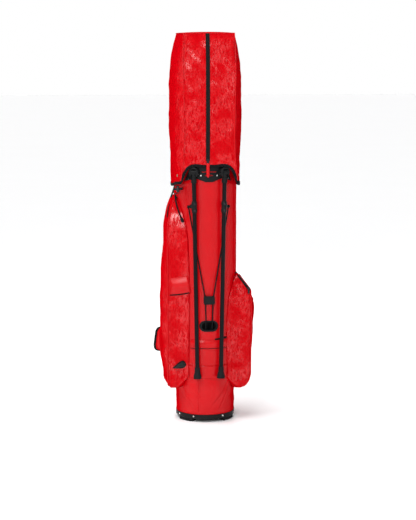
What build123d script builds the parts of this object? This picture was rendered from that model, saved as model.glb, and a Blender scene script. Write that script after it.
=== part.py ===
from build123d import *
import math
import os

# Golf stand bag with a lift-off travel hood. Millimetres, +Z up, origin on the floor on the bag's axis.
# The legs are on the front, -Y. The apparel pocket is on -X and the ball pocket on +X.

# ---- driving dimensions -------------------------------------------------------------------------
body_r = 107.0            # outside radius of the bag body
wall = 3.0                # padded wall of the body
boot_top = 198.0          # seam between the lower fabric and the body wrap
boot_foot_r = 99.0        # outside radius of the lower fabric at the base
body_top = 872.0
gap = 0.3                 # clearance between soft pieces and the body

base_r = 101.0            # outside radius of the moulded base
base_low = 10.0
base_high = 26.0
base_floor = 5.0          # thickness of the base's floor
hinge_y = -14.0           # heel hinge line
hinge_z = 23.0
split_gap = 1.5
foot_start = 33.0         # ribbed feet, degrees from the front or the back
foot_stop = 72.0

pivot = (52.0, -116.0, 858.0)
leg_tip = (40.0, -116.0, 158.0)
leg_r = 7.0
spring_offset = 12.6      # the leg springs' place in the housings' cheeks
ear = (68.0, -96.0, 742.0)               # upper rod's pivot on the leg bracket
rod_r = 2.25
rod_end = (13.0, -116.0, 430.0)          # upper rod's lower end, inside the clip
clip_centre = (0.0, -116.0, 426.0)
clip_size = (37.0, 12.0, 28.0)
push_slope = 19.5                        # degrees that the push rods lean out of the vertical
grommet_z = 336.0
grommet_size = (64.0, 38.0)
grommet_hole = (48.0, 28.0)

hood_low = 806.0
hood_high = 1317.0
hood_wall = 3.0
hood_depth = 116.0        # half depth of the hood
hem = 10.0                # width of the hood's edge binding
zip_width = 13.5
zip_x = -5.0              # the zip runs a little left of the hood's middle
cup_bore = 10.5           # radius of the umbrella tip socket

collar_high = 904.0
well_floor = 40.0         # height of the divider's lower edge

os.makedirs("parts", exist_ok=True)


def save(piece, name):
    """Label a finished piece and write it as its own STEP file."""
    piece.part.label = name
    export_step(piece.part, f"parts/{name}.step")


def polar(radius, degrees):
    """A point at an angle from the front, positive towards +X."""
    turn = math.radians(degrees)
    return (radius * math.sin(turn), -radius * math.cos(turn))


def shift(point, direction, length):
    """A point moved along a direction of any length."""
    size = math.sqrt(sum(value * value for value in direction))
    return tuple(p + length * d / size for p, d in zip(point, direction))


def sector(low, high, inner, outer, start, stop):
    """A curved plate about the Z axis between two angles from the front."""
    reach = 2 * outer
    steps = 6
    rim = [polar(reach, start + (stop - start) * i / steps) for i in range(steps + 1)]
    with BuildPart() as piece:
        with BuildSketch(Plane.XY.offset(low)):
            Circle(outer)
            Circle(inner, mode=Mode.SUBTRACT)
            Polygon((0, 0), *rim, align=None, mode=Mode.INTERSECT)
        extrude(amount=high - low)
    return piece


def rod(points, radius):
    """A round bar that follows straight runs with small bends."""
    with BuildPart() as piece:
        with BuildLine() as path:
            if len(points) == 2:
                Line(*points)
            else:
                FilletPolyline(*points, radius=12)
        with BuildSketch(Plane(origin=points[0], z_dir=path.line % 0)):
            Circle(radius)
        sweep()
    return piece


# ---- base: fixed rear cup, hinged heel, feet ------------------------------------------------------
def base_half(name, front):
    """One half of the moulded base: a shallow cup split along the heel's hinge line."""
    with BuildPart() as half:
        with BuildSketch(Plane.XY.offset(base_low)):
            Circle(base_r)
        extrude(amount=base_high - base_low)
        chamfer(half.edges().filter_by(GeomType.CIRCLE).group_by(Axis.Z)[0], 3)
        with BuildSketch(Plane.XY.offset(base_low + base_floor)):
            Circle(base_r - 7)
        extrude(amount=base_high, mode=Mode.SUBTRACT)
        cut_y = hinge_y - split_gap if front else hinge_y
        side = Align.MIN if front else Align.MAX
        with Locations((0, cut_y, 0)):
            Box(4 * base_r, 2 * base_r, 4 * base_high, align=(Align.CENTER, side, Align.CENTER),
                mode=Mode.SUBTRACT)
        if not front:
            with BuildSketch(Plane.XY):
                Circle(13)
            extrude(amount=base_low + 1)
            with Locations((0, hinge_y, hinge_z)):
                for side_x in (-1, 1):
                    with Locations((side_x * 60, 4, -4)):
                        Box(40, 9, 9)
                with Locations(Rotation(0, 90, 0)):
                    Cylinder(2.55, 200, mode=Mode.SUBTRACT)
                    Cylinder(5.4, 78, mode=Mode.SUBTRACT)
        else:
            with Locations((0, hinge_y, hinge_z)):
                with Locations((0, -5, -4)):
                    Box(70, 8, 9)
                with Locations(Rotation(0, 90, 0)):
                    Cylinder(4.2, 70)
                    Cylinder(2.55, 200, mode=Mode.SUBTRACT)
            with Locations((0, -74, base_low + base_floor + 1.5)):
                Box(50, 26, 3)
    save(half, name)
    return half


def feet(name, centre_angle):
    """Two ribbed rubber feet, mirrored left and right."""
    with BuildPart() as pair:
        for side_x in (-1, 1):
            for step in range(4):
                width = (foot_stop - foot_start) / 4
                start = foot_start + width * step + 0.8
                lug = sector(0, base_low, 74, 98, start, start + width - 1.6)
                turned = lug.part.rotate(Axis.Z, centre_angle)
                add(turned if side_x > 0 else turned.mirror(Plane.YZ))
            pad = sector(4, base_low, 76, 96.5, foot_start, foot_stop).part.rotate(Axis.Z, centre_angle)
            add(pad if side_x > 0 else pad.mirror(Plane.YZ))
    save(pair, name)


def rivets(name, angles):
    """Domed rivets through the base rim."""
    with BuildPart() as group:
        for angle in angles:
            x, y = polar(base_r, angle)
            with BuildSketch(Plane(origin=(x, y, 19.5), z_dir=(x, y, 0))):
                Circle(3.2)
            extrude(amount=1.4, taper=30)
    save(group, name)


base_half("base_cup", front=False)
base_half("heel", front=True)
feet("heel_feet", 0)
feet("rear_feet", 180)
rivets("heel_rivets", (-67, -30, 30, 67))
rivets("base_rivets", (-150, -113, 113, 150))

with BuildPart() as heel_pin:
    with BuildSketch(Plane.YZ.offset(-80)):
        with Locations((hinge_y, hinge_z)):
            Circle(2.5)
    extrude(amount=160)
save(heel_pin, "heel_hinge_pin")

# ---- body: lower fabric, body wrap, collar, dividers ------------------------------------------------
with BuildPart() as boot:
    with BuildSketch(Plane.XZ):
        with BuildLine():
            Polyline((boot_foot_r, base_high + gap), (body_r, boot_top), (body_r - wall, boot_top),
                     (boot_foot_r - wall, base_high + gap), close=True)
        make_face()
    revolve(axis=Axis.Z)
save(boot, "boot")

with BuildPart() as body_shell:
    with BuildSketch(Plane.XY.offset(boot_top)):
        Circle(body_r)
        Circle(body_r - wall, mode=Mode.SUBTRACT)
    extrude(amount=body_top - boot_top)
    with BuildSketch(Plane.XZ):
        with Locations((0, grommet_z - 2)):
            RectangleRounded(44, 36, 10)
    extrude(amount=body_r + 20, mode=Mode.SUBTRACT)
save(body_shell, "body_shell")

with BuildPart() as grommet:
    with BuildSketch(Plane.XZ):
        with Locations((0, grommet_z)):
            RectangleRounded(*grommet_size, grommet_size[1] / 2 - 0.1)
            RectangleRounded(*grommet_hole, grommet_hole[1] / 2 - 0.1, mode=Mode.SUBTRACT)
    extrude(amount=body_r + 20)
    with BuildSketch(Plane.XY):
        Circle(body_r + 2.4)
        Circle(body_r, mode=Mode.SUBTRACT)
    extrude(amount=body_top, mode=Mode.INTERSECT)
save(grommet, "grommet")

with BuildPart() as collar:
    with BuildSketch(Plane.XZ):
        with BuildLine():
            Polyline((body_r - 9, body_top), (body_r, body_top), (body_r, collar_high - 6),
                     (body_r - 3, collar_high), (body_r - 9, collar_high), close=True)
        make_face()
    revolve(axis=Axis.Z)
    with BuildSketch(Plane.XZ):
        with BuildLine():
            Polyline((-160, 892), (-60, 888), (60, 888), (160, 892), (160, 950), (-160, 950), close=True)
        make_face()
    extrude(amount=160, mode=Mode.SUBTRACT)
save(collar, "collar")

with BuildPart() as divider_top:
    with BuildSketch(Plane.XY.offset(body_top - 12)):
        Circle(body_r - wall - gap)
        Circle(body_r - 10, mode=Mode.SUBTRACT)
        Rectangle(2 * body_r - 16, 7)
        Rectangle(7, 2 * body_r - 16)
    extrude(amount=12)
    fillet(divider_top.edges().group_by(Axis.Z)[-1].filter_by(GeomType.LINE), 2)
save(divider_top, "divider_top")

with BuildPart() as dividers:
    with BuildSketch(Plane.XY.offset(well_floor)):
        Rectangle(2 * (body_r - 16), 2)
        with Locations((0, 19)):
            Rectangle(2, 150)
    extrude(amount=body_top - 12 - well_floor)
save(dividers, "full_length_dividers")

with BuildPart() as rod_channel:
    with BuildSketch(Plane.XY.offset(well_floor + 20)):
        with Locations((0, -62)):
            Rectangle(44, 2)
        for side_x in (-1, 1):
            with Locations((side_x * 21, -76)):
                Rectangle(2, 28)
    extrude(amount=grommet_z + 30 - well_floor)
save(rod_channel, "rod_channel")

with BuildPart() as leg_strap:
    add(sector(258, 288, body_r + gap, body_r + 2.3, -34, 36).part)
save(leg_strap, "leg_strap")
with BuildPart() as strap_tab:
    add(sector(289, 299, body_r + gap, body_r + 2.8, 15, 37).part)
save(strap_tab, "leg_strap_tab")

# ---- stand head bracket ----------------------------------------------------------------------------
tangent = (pivot[1], -pivot[0], 0)           # swing axis of the right leg
radial = (pivot[0], pivot[1], 0)
pivot_radius = math.hypot(pivot[0], pivot[1])
swing_plane = Plane(origin=pivot, x_dir=radial, z_dir=tangent)
housing_plane = Plane(origin=shift(pivot, radial, body_r + gap - pivot_radius), x_dir=tangent, z_dir=radial)

with BuildPart() as head_bracket:
    with BuildSketch(Plane.XZ):
        with BuildLine():
            Polyline((-80, 826), (-60, 874), (-36, 880), (36, 880), (60, 874), (80, 826), (46, 838),
                     (12, 825), (-12, 825), (-46, 838), close=True)
        make_face()
        for height, width in ((859, 50), (847, 28)):
            with Locations((0, height)):
                SlotOverall(width, 4, mode=Mode.SUBTRACT)
    extrude(amount=body_r + 30)
    with BuildSketch(Plane.XY):
        Circle(body_r + 4.5)
        Circle(body_r + gap, mode=Mode.SUBTRACT)
    extrude(amount=body_top + 30, mode=Mode.INTERSECT)
    with BuildPart(mode=Mode.PRIVATE) as housing:
        with BuildSketch(housing_plane):
            Circle(17)
        extrude(amount=pivot_radius + 6.5 - body_r)
        chamfer(housing.edges().group_by(SortBy.LENGTH)[-1], 2)
        with BuildSketch(swing_plane):
            with Locations((16, -16)):
                Rectangle(56, 54)
        extrude(amount=8.8, both=True, mode=Mode.SUBTRACT)
        with BuildSketch(swing_plane):
            Circle(3)
        extrude(amount=40, both=True, mode=Mode.SUBTRACT)
        for offset_out in (-spring_offset, spring_offset):
            with Locations(Plane(origin=shift(pivot, tangent, offset_out), z_dir=tangent)):
                Cylinder(6.6, 3, mode=Mode.SUBTRACT)
    for bracket_half in (housing.part, housing.part.mirror(Plane.YZ)):
        add(bracket_half)
save(head_bracket, "stand_head_bracket")

with BuildPart() as bracket_screws:
    for angle in (-14, 14, -38, 38):
        x, y = polar(body_r + 4.5, angle)
        with BuildSketch(Plane(origin=(x, y, 847 if abs(angle) < 20 else 836), z_dir=(x, y, 0))):
            Circle(3)
        extrude(amount=1.2, taper=25)
save(bracket_screws, "bracket_screws")

# ---- legs, brackets and rods, made on the right and mirrored ---------------------------------------
leg_down = tuple(tip - top for tip, top in zip(leg_tip, pivot))
leg_length = math.dist(pivot, leg_tip)


def leg_plane(distance):
    """A plane square to the leg, at a distance below the pivot."""
    return Plane(origin=shift(pivot, leg_down, distance), x_dir=(0, 1, 0), z_dir=leg_down)


with BuildPart() as leg_ferrule:
    with BuildSketch(swing_plane):
        Circle(8.4)
    extrude(amount=8.4, both=True)
    with BuildSketch(leg_plane(4)):
        Circle(7.6)
    extrude(amount=18)
    with BuildSketch(leg_plane(20)):
        Circle(9.4)
    extrude(amount=15)
    with BuildSketch(leg_plane(14)):
        Circle(leg_r)
    extrude(amount=40, mode=Mode.SUBTRACT)
    with BuildSketch(swing_plane):
        Circle(3.06)
    extrude(amount=40, both=True, mode=Mode.SUBTRACT)

with BuildPart() as pivot_pins:
    with BuildSketch(swing_plane):
        Circle(3)
    extrude(amount=14.5, both=True)
    mirror(about=Plane.YZ)
save(pivot_pins, "leg_pivot_pins")

with BuildPart() as leg_tube:
    with BuildSketch(leg_plane(14)):
        Circle(leg_r)
        Circle(leg_r - 1.2, mode=Mode.SUBTRACT)
    extrude(amount=leg_length - 14 - 10)

with BuildPart() as leg_foot:
    with BuildSketch(leg_plane(leg_length - 38)):
        Circle(8.6)
    with BuildSketch(leg_plane(leg_length - 22)):
        Circle(9.6)
    with BuildSketch(leg_plane(leg_length - 9)):
        Circle(13.2)
    with BuildSketch(leg_plane(leg_length)):
        Circle(13.4)
    loft(ruled=True)
    with BuildSketch(leg_plane(leg_length - 60)):
        Circle(leg_r)
    extrude(amount=50, mode=Mode.SUBTRACT)

ear_drop = pivot[2] - ear[2]
leg_at_ear = shift(pivot, leg_down, ear_drop)
ear_side = (-tangent[0], -tangent[1], 0)      # outward along the rod pivot's axis
ear_plane = Plane(origin=ear, x_dir=radial, z_dir=ear_side)
with BuildPart() as leg_bracket:
    with BuildSketch(leg_plane(ear_drop - 17)):
        RectangleRounded(20, 19, 5)
        Circle(leg_r, mode=Mode.SUBTRACT)
    extrude(amount=34)
    with BuildSketch(leg_plane(ear_drop - 8)):
        with BuildLine():
            Polyline((-6, 8), (-6, 15), (10, 26), (24, 29), (26, 12), (16, 8), close=True)
        make_face()
    extrude(amount=16)
    with BuildSketch(ear_plane):
        Circle(9.5)
        with Locations((-10, 1.5)):
            Rectangle(20, 22)
    extrude(amount=4.4, both=True, mode=Mode.SUBTRACT)
    with BuildSketch(leg_plane(ear_drop - 40)):
        Circle(leg_r)
    extrude(amount=80, mode=Mode.SUBTRACT)
    with BuildSketch(ear_plane):
        Circle(2)
    extrude(amount=20, both=True, mode=Mode.SUBTRACT)

with BuildPart() as bracket_pins:
    for drop in (-11, 11):
        centre = shift(leg_at_ear, leg_down, drop)
        with BuildSketch(Plane(origin=(centre[0], centre[1] - 10, centre[2]), z_dir=(0, -1, 0))):
            Circle(3.4)
        extrude(amount=1.6, taper=20)
    with BuildSketch(ear_plane):
        Circle(2)
    extrude(amount=8, both=True)

rod_top = shift(ear, (rod_end[0] - ear[0], rod_end[1] - ear[1], rod_end[2] - ear[2]), 3)
with BuildPart() as rod_upper:
    add(rod((rod_top, rod_end), rod_r).part)
    with BuildSketch(ear_plane):
        Circle(5)
    extrude(amount=2.6, both=True)
    with BuildSketch(ear_plane):
        Circle(2.06)
    extrude(amount=20, both=True, mode=Mode.SUBTRACT)


for label, piece in (("leg_ferrule", leg_ferrule), ("leg_tube", leg_tube), ("leg_foot", leg_foot),
                     ("leg_bracket", leg_bracket), ("bracket_pins", bracket_pins), ("upper_rod", rod_upper)):
    save(piece, f"{label}_right")
    with BuildPart() as other:
        mirror(piece.part, about=Plane.YZ)
    save(other, f"{label}_left")

with BuildPart() as leg_springs:
    with BuildPart(mode=Mode.PRIVATE) as spring:
        for offset_out in (-spring_offset, spring_offset):
            with Locations(Plane(origin=shift(pivot, tangent, offset_out), z_dir=tangent)):
                Torus(5.2, 0.8)
    add(spring.part)
    add(spring.part.mirror(Plane.YZ))
save(leg_springs, "leg_springs")

# ---- rod clip and push rods ------------------------------------------------------------------------
with BuildPart() as rod_clip:
    with Locations(clip_centre):
        Box(*clip_size)
    fillet(rod_clip.edges().filter_by(Axis.Y), 4)
    fillet(rod_clip.faces().sort_by(Axis.Y)[0].edges(), 2)
    for side_x in (-1, 1):
        with Locations((side_x * (rod_end[0] + 1.2), clip_centre[1], clip_centre[2] + 6)):
            Box(9, 8.4, 26)
            Box(9, 8.4, 30, mode=Mode.SUBTRACT)
save(rod_clip, "rod_clip")

slope = math.radians(push_slope)
bend_top = (11.0, -114.0, 352.0)
bend_low = (10.7, bend_top[1] + 58 * math.tan(slope), 294.0)
with BuildPart() as push_rods:
    for side_x in (-1, 1):
        points = ((side_x * 12.6, clip_centre[1], clip_centre[2] - clip_size[2] / 2 - gap),
                  (side_x * bend_top[0], bend_top[1] - 1, bend_top[2] + 10),
                  (side_x * bend_low[0], bend_low[1], bend_low[2]),
                  (side_x * 10.7, -72, 60),
                  (side_x * 10.7, -70, 24))
        add(rod(points, rod_r).part)
    with Locations((0, -70, 22)):
        Box(34, 9, 6)
    fillet(push_rods.faces().sort_by(Axis.Z)[0].edges().filter_by(Axis.X), 2.5)
save(push_rods, "push_rods")

# ---- apparel pocket on the left ---------------------------------------------------------------------
apparel_edge = ((-109, 768), (-127, 734), (-135, 692), (-147, 623), (-152, 558), (-157, 432),
                (-159, 325), (-159, 245), (-153, 204), (-148, 160), (-142, 133), (-131, 119))
ball_edge = ((107, 507), (129, 481), (150, 452), (160, 428), (166, 404), (166, 325), (163, 257),
             (157, 199), (150, 154), (142, 132), (128, 118))


def pocket(edge, bottom, corner_x, front_y, back_y, bulge, inset):
    """A pocket's solid: its side outline run across its plan, less the body it is sewn to."""
    side_x = 1 if corner_x > 0 else -1
    outline = [(x - side_x * inset, z) for x, z in edge]
    with BuildPart() as piece:
        with BuildSketch(Plane.XZ.offset(-150)):
            with BuildLine():
                Spline(*outline)
                Polyline(outline[-1], (side_x * 60, bottom), (side_x * 60, outline[0][1]), outline[0])
            make_face()
        extrude(amount=300)
        with BuildSketch(Plane.XY):
            with BuildLine():
                front = (side_x * 66, -86)
                back = (side_x * 62, 90)
                ThreePointArc((corner_x, front_y), (side_x * (bulge - inset), (front_y + back_y) / 2),
                              (corner_x, back_y))
                Polyline((corner_x, back_y), back, front, (corner_x, front_y))
            make_face()
        extrude(amount=body_top, mode=Mode.INTERSECT)
        with BuildSketch(Plane.XY):
            Circle(body_r + gap)
        extrude(amount=body_top, mode=Mode.SUBTRACT)
    return piece


def pocket_pair(label, panel, edge, bottom, corner_x, front_y, back_y, bulge):
    """Write a pocket as its gusset body and the skin panel over its outer side."""
    inner = pocket(edge, bottom, corner_x, front_y, back_y, bulge, 3)
    whole = pocket(edge, bottom, corner_x, front_y, back_y, bulge, 0)
    with BuildPart() as body:
        add(max(inner.part.solids(), key=lambda solid: solid.volume))
    save(body, label)
    with BuildPart() as skin:
        add(whole.part)
        add(inner.part, mode=Mode.SUBTRACT)
    with BuildPart() as outer:
        add(max(skin.part.solids(), key=lambda solid: solid.volume))
    save(outer, panel)


pocket_pair("apparel_pocket", "apparel_pocket_panel", apparel_edge, 119, -137, -72, 58, 161)
pocket_pair("ball_pocket", "ball_pocket_panel", ball_edge, 113, 150, -66, 56, 168)

with BuildPart() as umbrella_band:
    with BuildSketch(Plane.XY.offset(440)):
        with BuildLine():
            Polyline((-64, -89.4), (-137.6, -73.6), (-137, -72.4), (-64, -87.2), close=True)
        make_face()
    extrude(amount=59)
    with BuildSketch(Plane.XY):
        Circle(body_r + gap)
    extrude(amount=body_top, mode=Mode.SUBTRACT)
save(umbrella_band, "umbrella_band")

cup_place = (-98, -92, 176)
with BuildPart() as umbrella_cup:
    with Locations(cup_place):
        Cylinder(13, 34, align=(Align.CENTER, Align.CENTER, Align.MIN))
        with Locations((0, 8, 0)):
            Box(26, 14, 34, align=(Align.CENTER, Align.CENTER, Align.MIN))
    with Locations((cup_place[0], cup_place[1], cup_place[2] + 4)):
        Cylinder(cup_bore, 40, align=(Align.CENTER, Align.CENTER, Align.MIN), mode=Mode.SUBTRACT)
    with BuildSketch(Plane.XY):
        with BuildLine():
            Polyline((-62, -86.8), (-137, -72), (-137, 0), (-62, 0), close=True)
        make_face()
    extrude(amount=400, mode=Mode.SUBTRACT)
save(umbrella_cup, "umbrella_cup")

# ---- side handle on the apparel pocket ---------------------------------------------------------------
with BuildPart() as side_handle:
    with BuildSketch(Plane.XZ.offset(12)):
        with BuildLine():
            Polyline((-160.5, 312), (-171, 306), (-177, 300), (-177, 238), (-171, 232), (-160.5, 226),
                     (-160.5, 236), (-170, 242), (-173, 246), (-173, 294), (-170, 298), (-160.5, 302),
                     close=True)
        make_face()
    extrude(amount=-32)
save(side_handle, "side_handle")

# ---- back: hip pad, shoulder straps, lift handle ------------------------------------------------------
with BuildPart() as back_pad:
    add(sector(352, 640, body_r + gap, body_r + 17, 152, 208).part)
    fillet(back_pad.faces().sort_by(Axis.Y)[-1].edges(), 7)
save(back_pad, "back_pad")

strap_path = ((790, 112), (770, 122), (700, 136), (560, 142), (440, 138), (400, 130))


def strap_pad(side_x):
    """A padded shoulder strap that hangs behind the bag, as one curved slab."""
    with BuildPart() as pad:
        with BuildSketch(Plane.YZ.offset(side_x * 46)):
            with BuildLine():
                outer = Spline(*[(y + 13, z) for z, y in strap_path])
                inner = Spline(*[(y, z) for z, y in strap_path])
                Line(outer @ 0, inner @ 0)
                Line(outer @ 1, inner @ 1)
            make_face()
        extrude(amount=27, both=True)
        fillet(pad.edges().filter_by(GeomType.BSPLINE), 4)
    return pad


for side_x, label in ((1, "right"), (-1, "left")):
    strap = strap_pad(side_x)
    save(strap, f"shoulder_strap_{label}")

with BuildPart() as strap_webbing:
    for side_x in (-1, 1):
        with BuildSketch(Plane.YZ.offset(side_x * 46)):
            with BuildLine():
                Polyline((137, 399), (137, 372), (112, 318), (110, 318), (133, 372), (133, 399), close=True)
            make_face()
        extrude(amount=12.5, both=True)
        with Locations((side_x * 46, 138.5, 384)):
            Box(34, 8, 20)
save(strap_webbing, "strap_webbing")

with BuildPart() as lift_handle:
    with BuildSketch(Plane.YZ):
        with BuildLine():
            Polyline((108, 780), (118, 780), (128, 768), (130, 700), (118, 668), (108, 668), (108, 672),
                     (116, 673), (126, 702), (124, 766), (117, 776), (108, 776), close=True)
        make_face()
    extrude(amount=14, both=True)
save(lift_handle, "lift_handle")

# ---- ring and cord pull above the apparel pocket ------------------------------------------------------
ring_place = (-108, -78, 793)
with BuildPart() as pull_ring:
    with BuildSketch(Plane.XY.offset(796)):
        with BuildLine():
            Polyline((-82, -66), (-112, -79), (-111, -77), (-84, -60), close=True)
        make_face()
    extrude(amount=8)
    with BuildSketch(Plane.XY):
        Circle(body_r + gap)
    extrude(amount=body_top, mode=Mode.SUBTRACT)
    with Locations(Plane(origin=ring_place, z_dir=(-0.2, -1, 0))):
        Torus(8.5, 1.4)
save(pull_ring, "pull_ring")

cord_r = 2.8
cord_route = ((-110, -80, 781.5), (-110, -85, 765), (-106, -88.5, 744), (-99, -89.5, 722), (-91, -88.5, 703))


def corner_radii(route):
    """The largest arc at each corner: 0.45 of the shorter run over the tangent of half the turn."""
    radii = []
    for before, corner, after in zip(route, route[1:], route[2:]):
        arriving = Vector(*corner) - Vector(*before)
        leaving = Vector(*after) - Vector(*corner)
        turn = math.radians(arriving.get_angle(leaving))
        radii.append(0.45 * min(arriving.length, leaving.length) / math.tan(turn / 2))
    return radii


cord_radii = corner_radii(cord_route)
with BuildPart() as pull_cord:
    with BuildLine() as cord_line:
        FilletPolyline(*cord_route, radius=cord_radii)
    with BuildSketch(Plane(origin=cord_route[0], z_dir=cord_line.line % 0)):
        Circle(cord_r)
    sweep()
save(pull_cord, "pull_cord")

toggle_run = cord_line.line % 1
with BuildPart() as cord_toggle:
    with BuildSketch(Plane(origin=cord_route[-1], z_dir=toggle_run)):
        Circle(5.4)
    extrude(amount=15)
    fillet(cord_toggle.edges().filter_by(GeomType.CIRCLE), 2.4)
save(cord_toggle, "cord_toggle")

# ---- apparel pocket zip, on the rear gusset -------------------------------------------------------------
rear_normal = (-32.0, 75.0, 0.0)
rear_zip_place = shift((-118, 66.1, 0), rear_normal, 0.6)
with BuildPart() as apparel_zip:
    with BuildSketch(Plane(origin=(rear_zip_place[0], rear_zip_place[1], 430), x_dir=(0, 0, 1),
                           z_dir=rear_normal)):
        Rectangle(540, 10)
    extrude(amount=1.2)
save(apparel_zip, "apparel_zip")

with BuildPart() as apparel_slider:
    with BuildSketch(Plane(origin=(*shift(rear_zip_place, rear_normal, 1.6)[:2], 686), x_dir=(0, 0, 1),
                           z_dir=rear_normal)):
        RectangleRounded(14, 9, 2.5)
        with Locations((-20, 0)):
            RectangleRounded(30, 6, 2)
    extrude(amount=3)
save(apparel_slider, "apparel_zip_slider")

# ---- travel hood --------------------------------------------------------------------------------------
# height, half width at the sides, half depth, half width of the flat front
hood_sections = ((806, 115, 116, 84), (900, 118, 116, 85), (1095, 121.5, 116, 85), (1240, 113, 116, 82),
                 (1300, 99, 112, 78), (1317, 93, 106, 74))


def hood_form(inset):
    """The hood's closed form, flat at the front and back with curved sides, made smaller by an inset."""
    with BuildPart() as form:
        for height, half, depth, flat in hood_sections:
            top = height - inset if height == hood_high else height
            with BuildSketch(Plane.XY.offset(top)):
                with BuildLine():
                    corner = flat - inset
                    deep = depth - inset
                    Line((-corner, -deep), (corner, -deep))
                    ThreePointArc((corner, -deep), (half - inset, 0), (corner, deep))
                    Line((corner, deep), (-corner, deep))
                    ThreePointArc((-corner, deep), (inset - half, 0), (-corner, -deep))
                make_face()
        loft(ruled=True)
    return form


def arch(grow):
    """The opening in the hood's front edge that clears the stand's head bracket."""
    half = ((99 + grow, hood_low - 1), (91 + grow, 822), (83 + 0.9 * grow, 848 + 0.4 * grow),
            (69 + 0.7 * grow, 870 + 0.7 * grow), (40, 878 + grow))
    with BuildPart() as opening:
        with BuildSketch(Plane.XZ):
            with BuildLine():
                Spline(*[(-x, z) for x, z in half], (0, 879 + grow), *reversed(half))
                Line(half[0], (-half[0][0], half[0][1]))
            make_face()
        extrude(amount=200)
    return opening


with BuildPart() as hood_wall_form:
    add(hood_form(0).part)
    add(hood_form(hood_wall).part, mode=Mode.SUBTRACT)

with BuildPart() as hood_edge:
    with Locations((0, 0, hood_low + hem / 2)):
        Box(400, 400, hem)
    add(arch(hem).part)

with BuildPart() as hood_shell:
    add(hood_wall_form.part)
    add(hood_edge.part, mode=Mode.SUBTRACT)
    with Locations((zip_x, -hood_depth, 1100)):
        Box(zip_width, 16, 600, mode=Mode.SUBTRACT)
save(hood_shell, "hood_shell")

with BuildPart() as hood_binding:
    add(hood_wall_form.part)
    add(hood_edge.part, mode=Mode.INTERSECT)
    add(arch(0).part, mode=Mode.SUBTRACT)
save(hood_binding, "hood_binding")

with BuildPart() as hood_zip:
    add(hood_wall_form.part)
    add(hood_edge.part, mode=Mode.SUBTRACT)
    with Locations((zip_x, -hood_depth, 1100)):
        Box(zip_width, 16, 600, mode=Mode.INTERSECT)
save(hood_zip, "hood_zip")

with BuildPart() as hood_snaps:
    for side_x in (-1, 1):
        with BuildSketch(Plane(origin=(side_x * 101.5, -87.5, 846), z_dir=(side_x * 0.75, -0.66, 0))):
            Circle(4.5)
        extrude(amount=2)
save(hood_snaps, "hood_snaps")

slider_place = (zip_x, -hood_depth - 3.2, 896)
puller_y = slider_place[1] - 3.8
with BuildPart() as hood_slider:
    with Locations(slider_place):
        Box(9, 4.4, 15)
    fillet(hood_slider.edges().filter_by(Axis.Y), 3)
    with Locations((zip_x, slider_place[1] - 3.9, 892)):
        Box(6, 3.6, 5)
    with Locations(Location((zip_x, puller_y, 891), (0, 90, 0))):
        Cylinder(1.0, 20, mode=Mode.SUBTRACT)
save(hood_slider, "hood_zip_slider")

with BuildPart() as hood_puller:
    with Locations((zip_x, puller_y - 0.3, 864)):
        Box(11, 2.6, 46)
    fillet(hood_puller.edges().filter_by(Axis.Y), 2)
    for side_x in (-1, 1):
        with Locations((zip_x + side_x * 4.2, puller_y, 889)):
            Box(1.6, 2, 6)
    with Locations(Location((zip_x, puller_y, 891), (0, 90, 0))):
        Cylinder(0.95, 10)
save(hood_puller, "hood_zip_puller")

# ---- ball pocket zip ----------------------------------------------------------------------------------
zip_high = (106.0, -76.85, 501.0)
zip_foot = (144.0, -67.8, 451.0)
zip_run = tuple(high - low for high, low in zip(zip_high, zip_foot))
zip_length = math.dist(zip_high, zip_foot)
zip_face = Plane(origin=zip_foot, x_dir=zip_run, z_dir=(-zip_run[1], zip_run[0], 0))
with BuildPart() as ball_zip:
    with BuildSketch(zip_face.offset(0.4)):
        with Locations((zip_length / 2, 0)):
            Rectangle(zip_length, 9)
    extrude(amount=1.2)
save(ball_zip, "ball_zip")

with BuildPart() as ball_slider:
    with BuildSketch(zip_face.offset(2.0)):
        with Locations((8, 0)):
            RectangleRounded(13, 9, 2.5)
    extrude(amount=3)
    pull_plane = Plane(origin=shift(zip_foot, zip_run, 8), x_dir=(1, 0, 0), z_dir=zip_face.z_dir)
    with BuildSketch(pull_plane.offset(5)):
        with Locations((0, -7)):
            RectangleRounded(6, 22, 2)
    extrude(amount=2)
save(ball_slider, "ball_zip_slider")
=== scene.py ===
import math

import bpy
import numpy as np
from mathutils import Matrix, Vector, noise


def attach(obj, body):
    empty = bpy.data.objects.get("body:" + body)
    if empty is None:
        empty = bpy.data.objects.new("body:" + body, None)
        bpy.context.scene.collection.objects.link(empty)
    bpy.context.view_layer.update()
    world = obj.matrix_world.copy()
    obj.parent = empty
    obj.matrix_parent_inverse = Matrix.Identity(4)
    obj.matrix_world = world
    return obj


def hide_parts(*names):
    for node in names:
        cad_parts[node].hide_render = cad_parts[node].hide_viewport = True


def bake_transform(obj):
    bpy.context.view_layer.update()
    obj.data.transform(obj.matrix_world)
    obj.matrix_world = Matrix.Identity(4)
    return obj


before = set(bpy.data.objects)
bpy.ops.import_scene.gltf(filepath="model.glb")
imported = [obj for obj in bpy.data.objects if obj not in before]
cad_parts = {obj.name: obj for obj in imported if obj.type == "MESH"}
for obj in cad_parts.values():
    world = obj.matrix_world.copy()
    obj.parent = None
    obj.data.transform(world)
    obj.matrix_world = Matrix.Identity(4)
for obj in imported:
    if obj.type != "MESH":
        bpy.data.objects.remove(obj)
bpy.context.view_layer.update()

MM = 0.001                # every size below is in millimetres
TUBE_R = 107.0            # the bag body's radius
BOOT_LOW, BODY_LOW, BODY_HIGH = 26.0, 198.0, 872.0
FRONT, BACK = -1, 1
SIDES = ((1, "right"), (-1, "left"))


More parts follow.
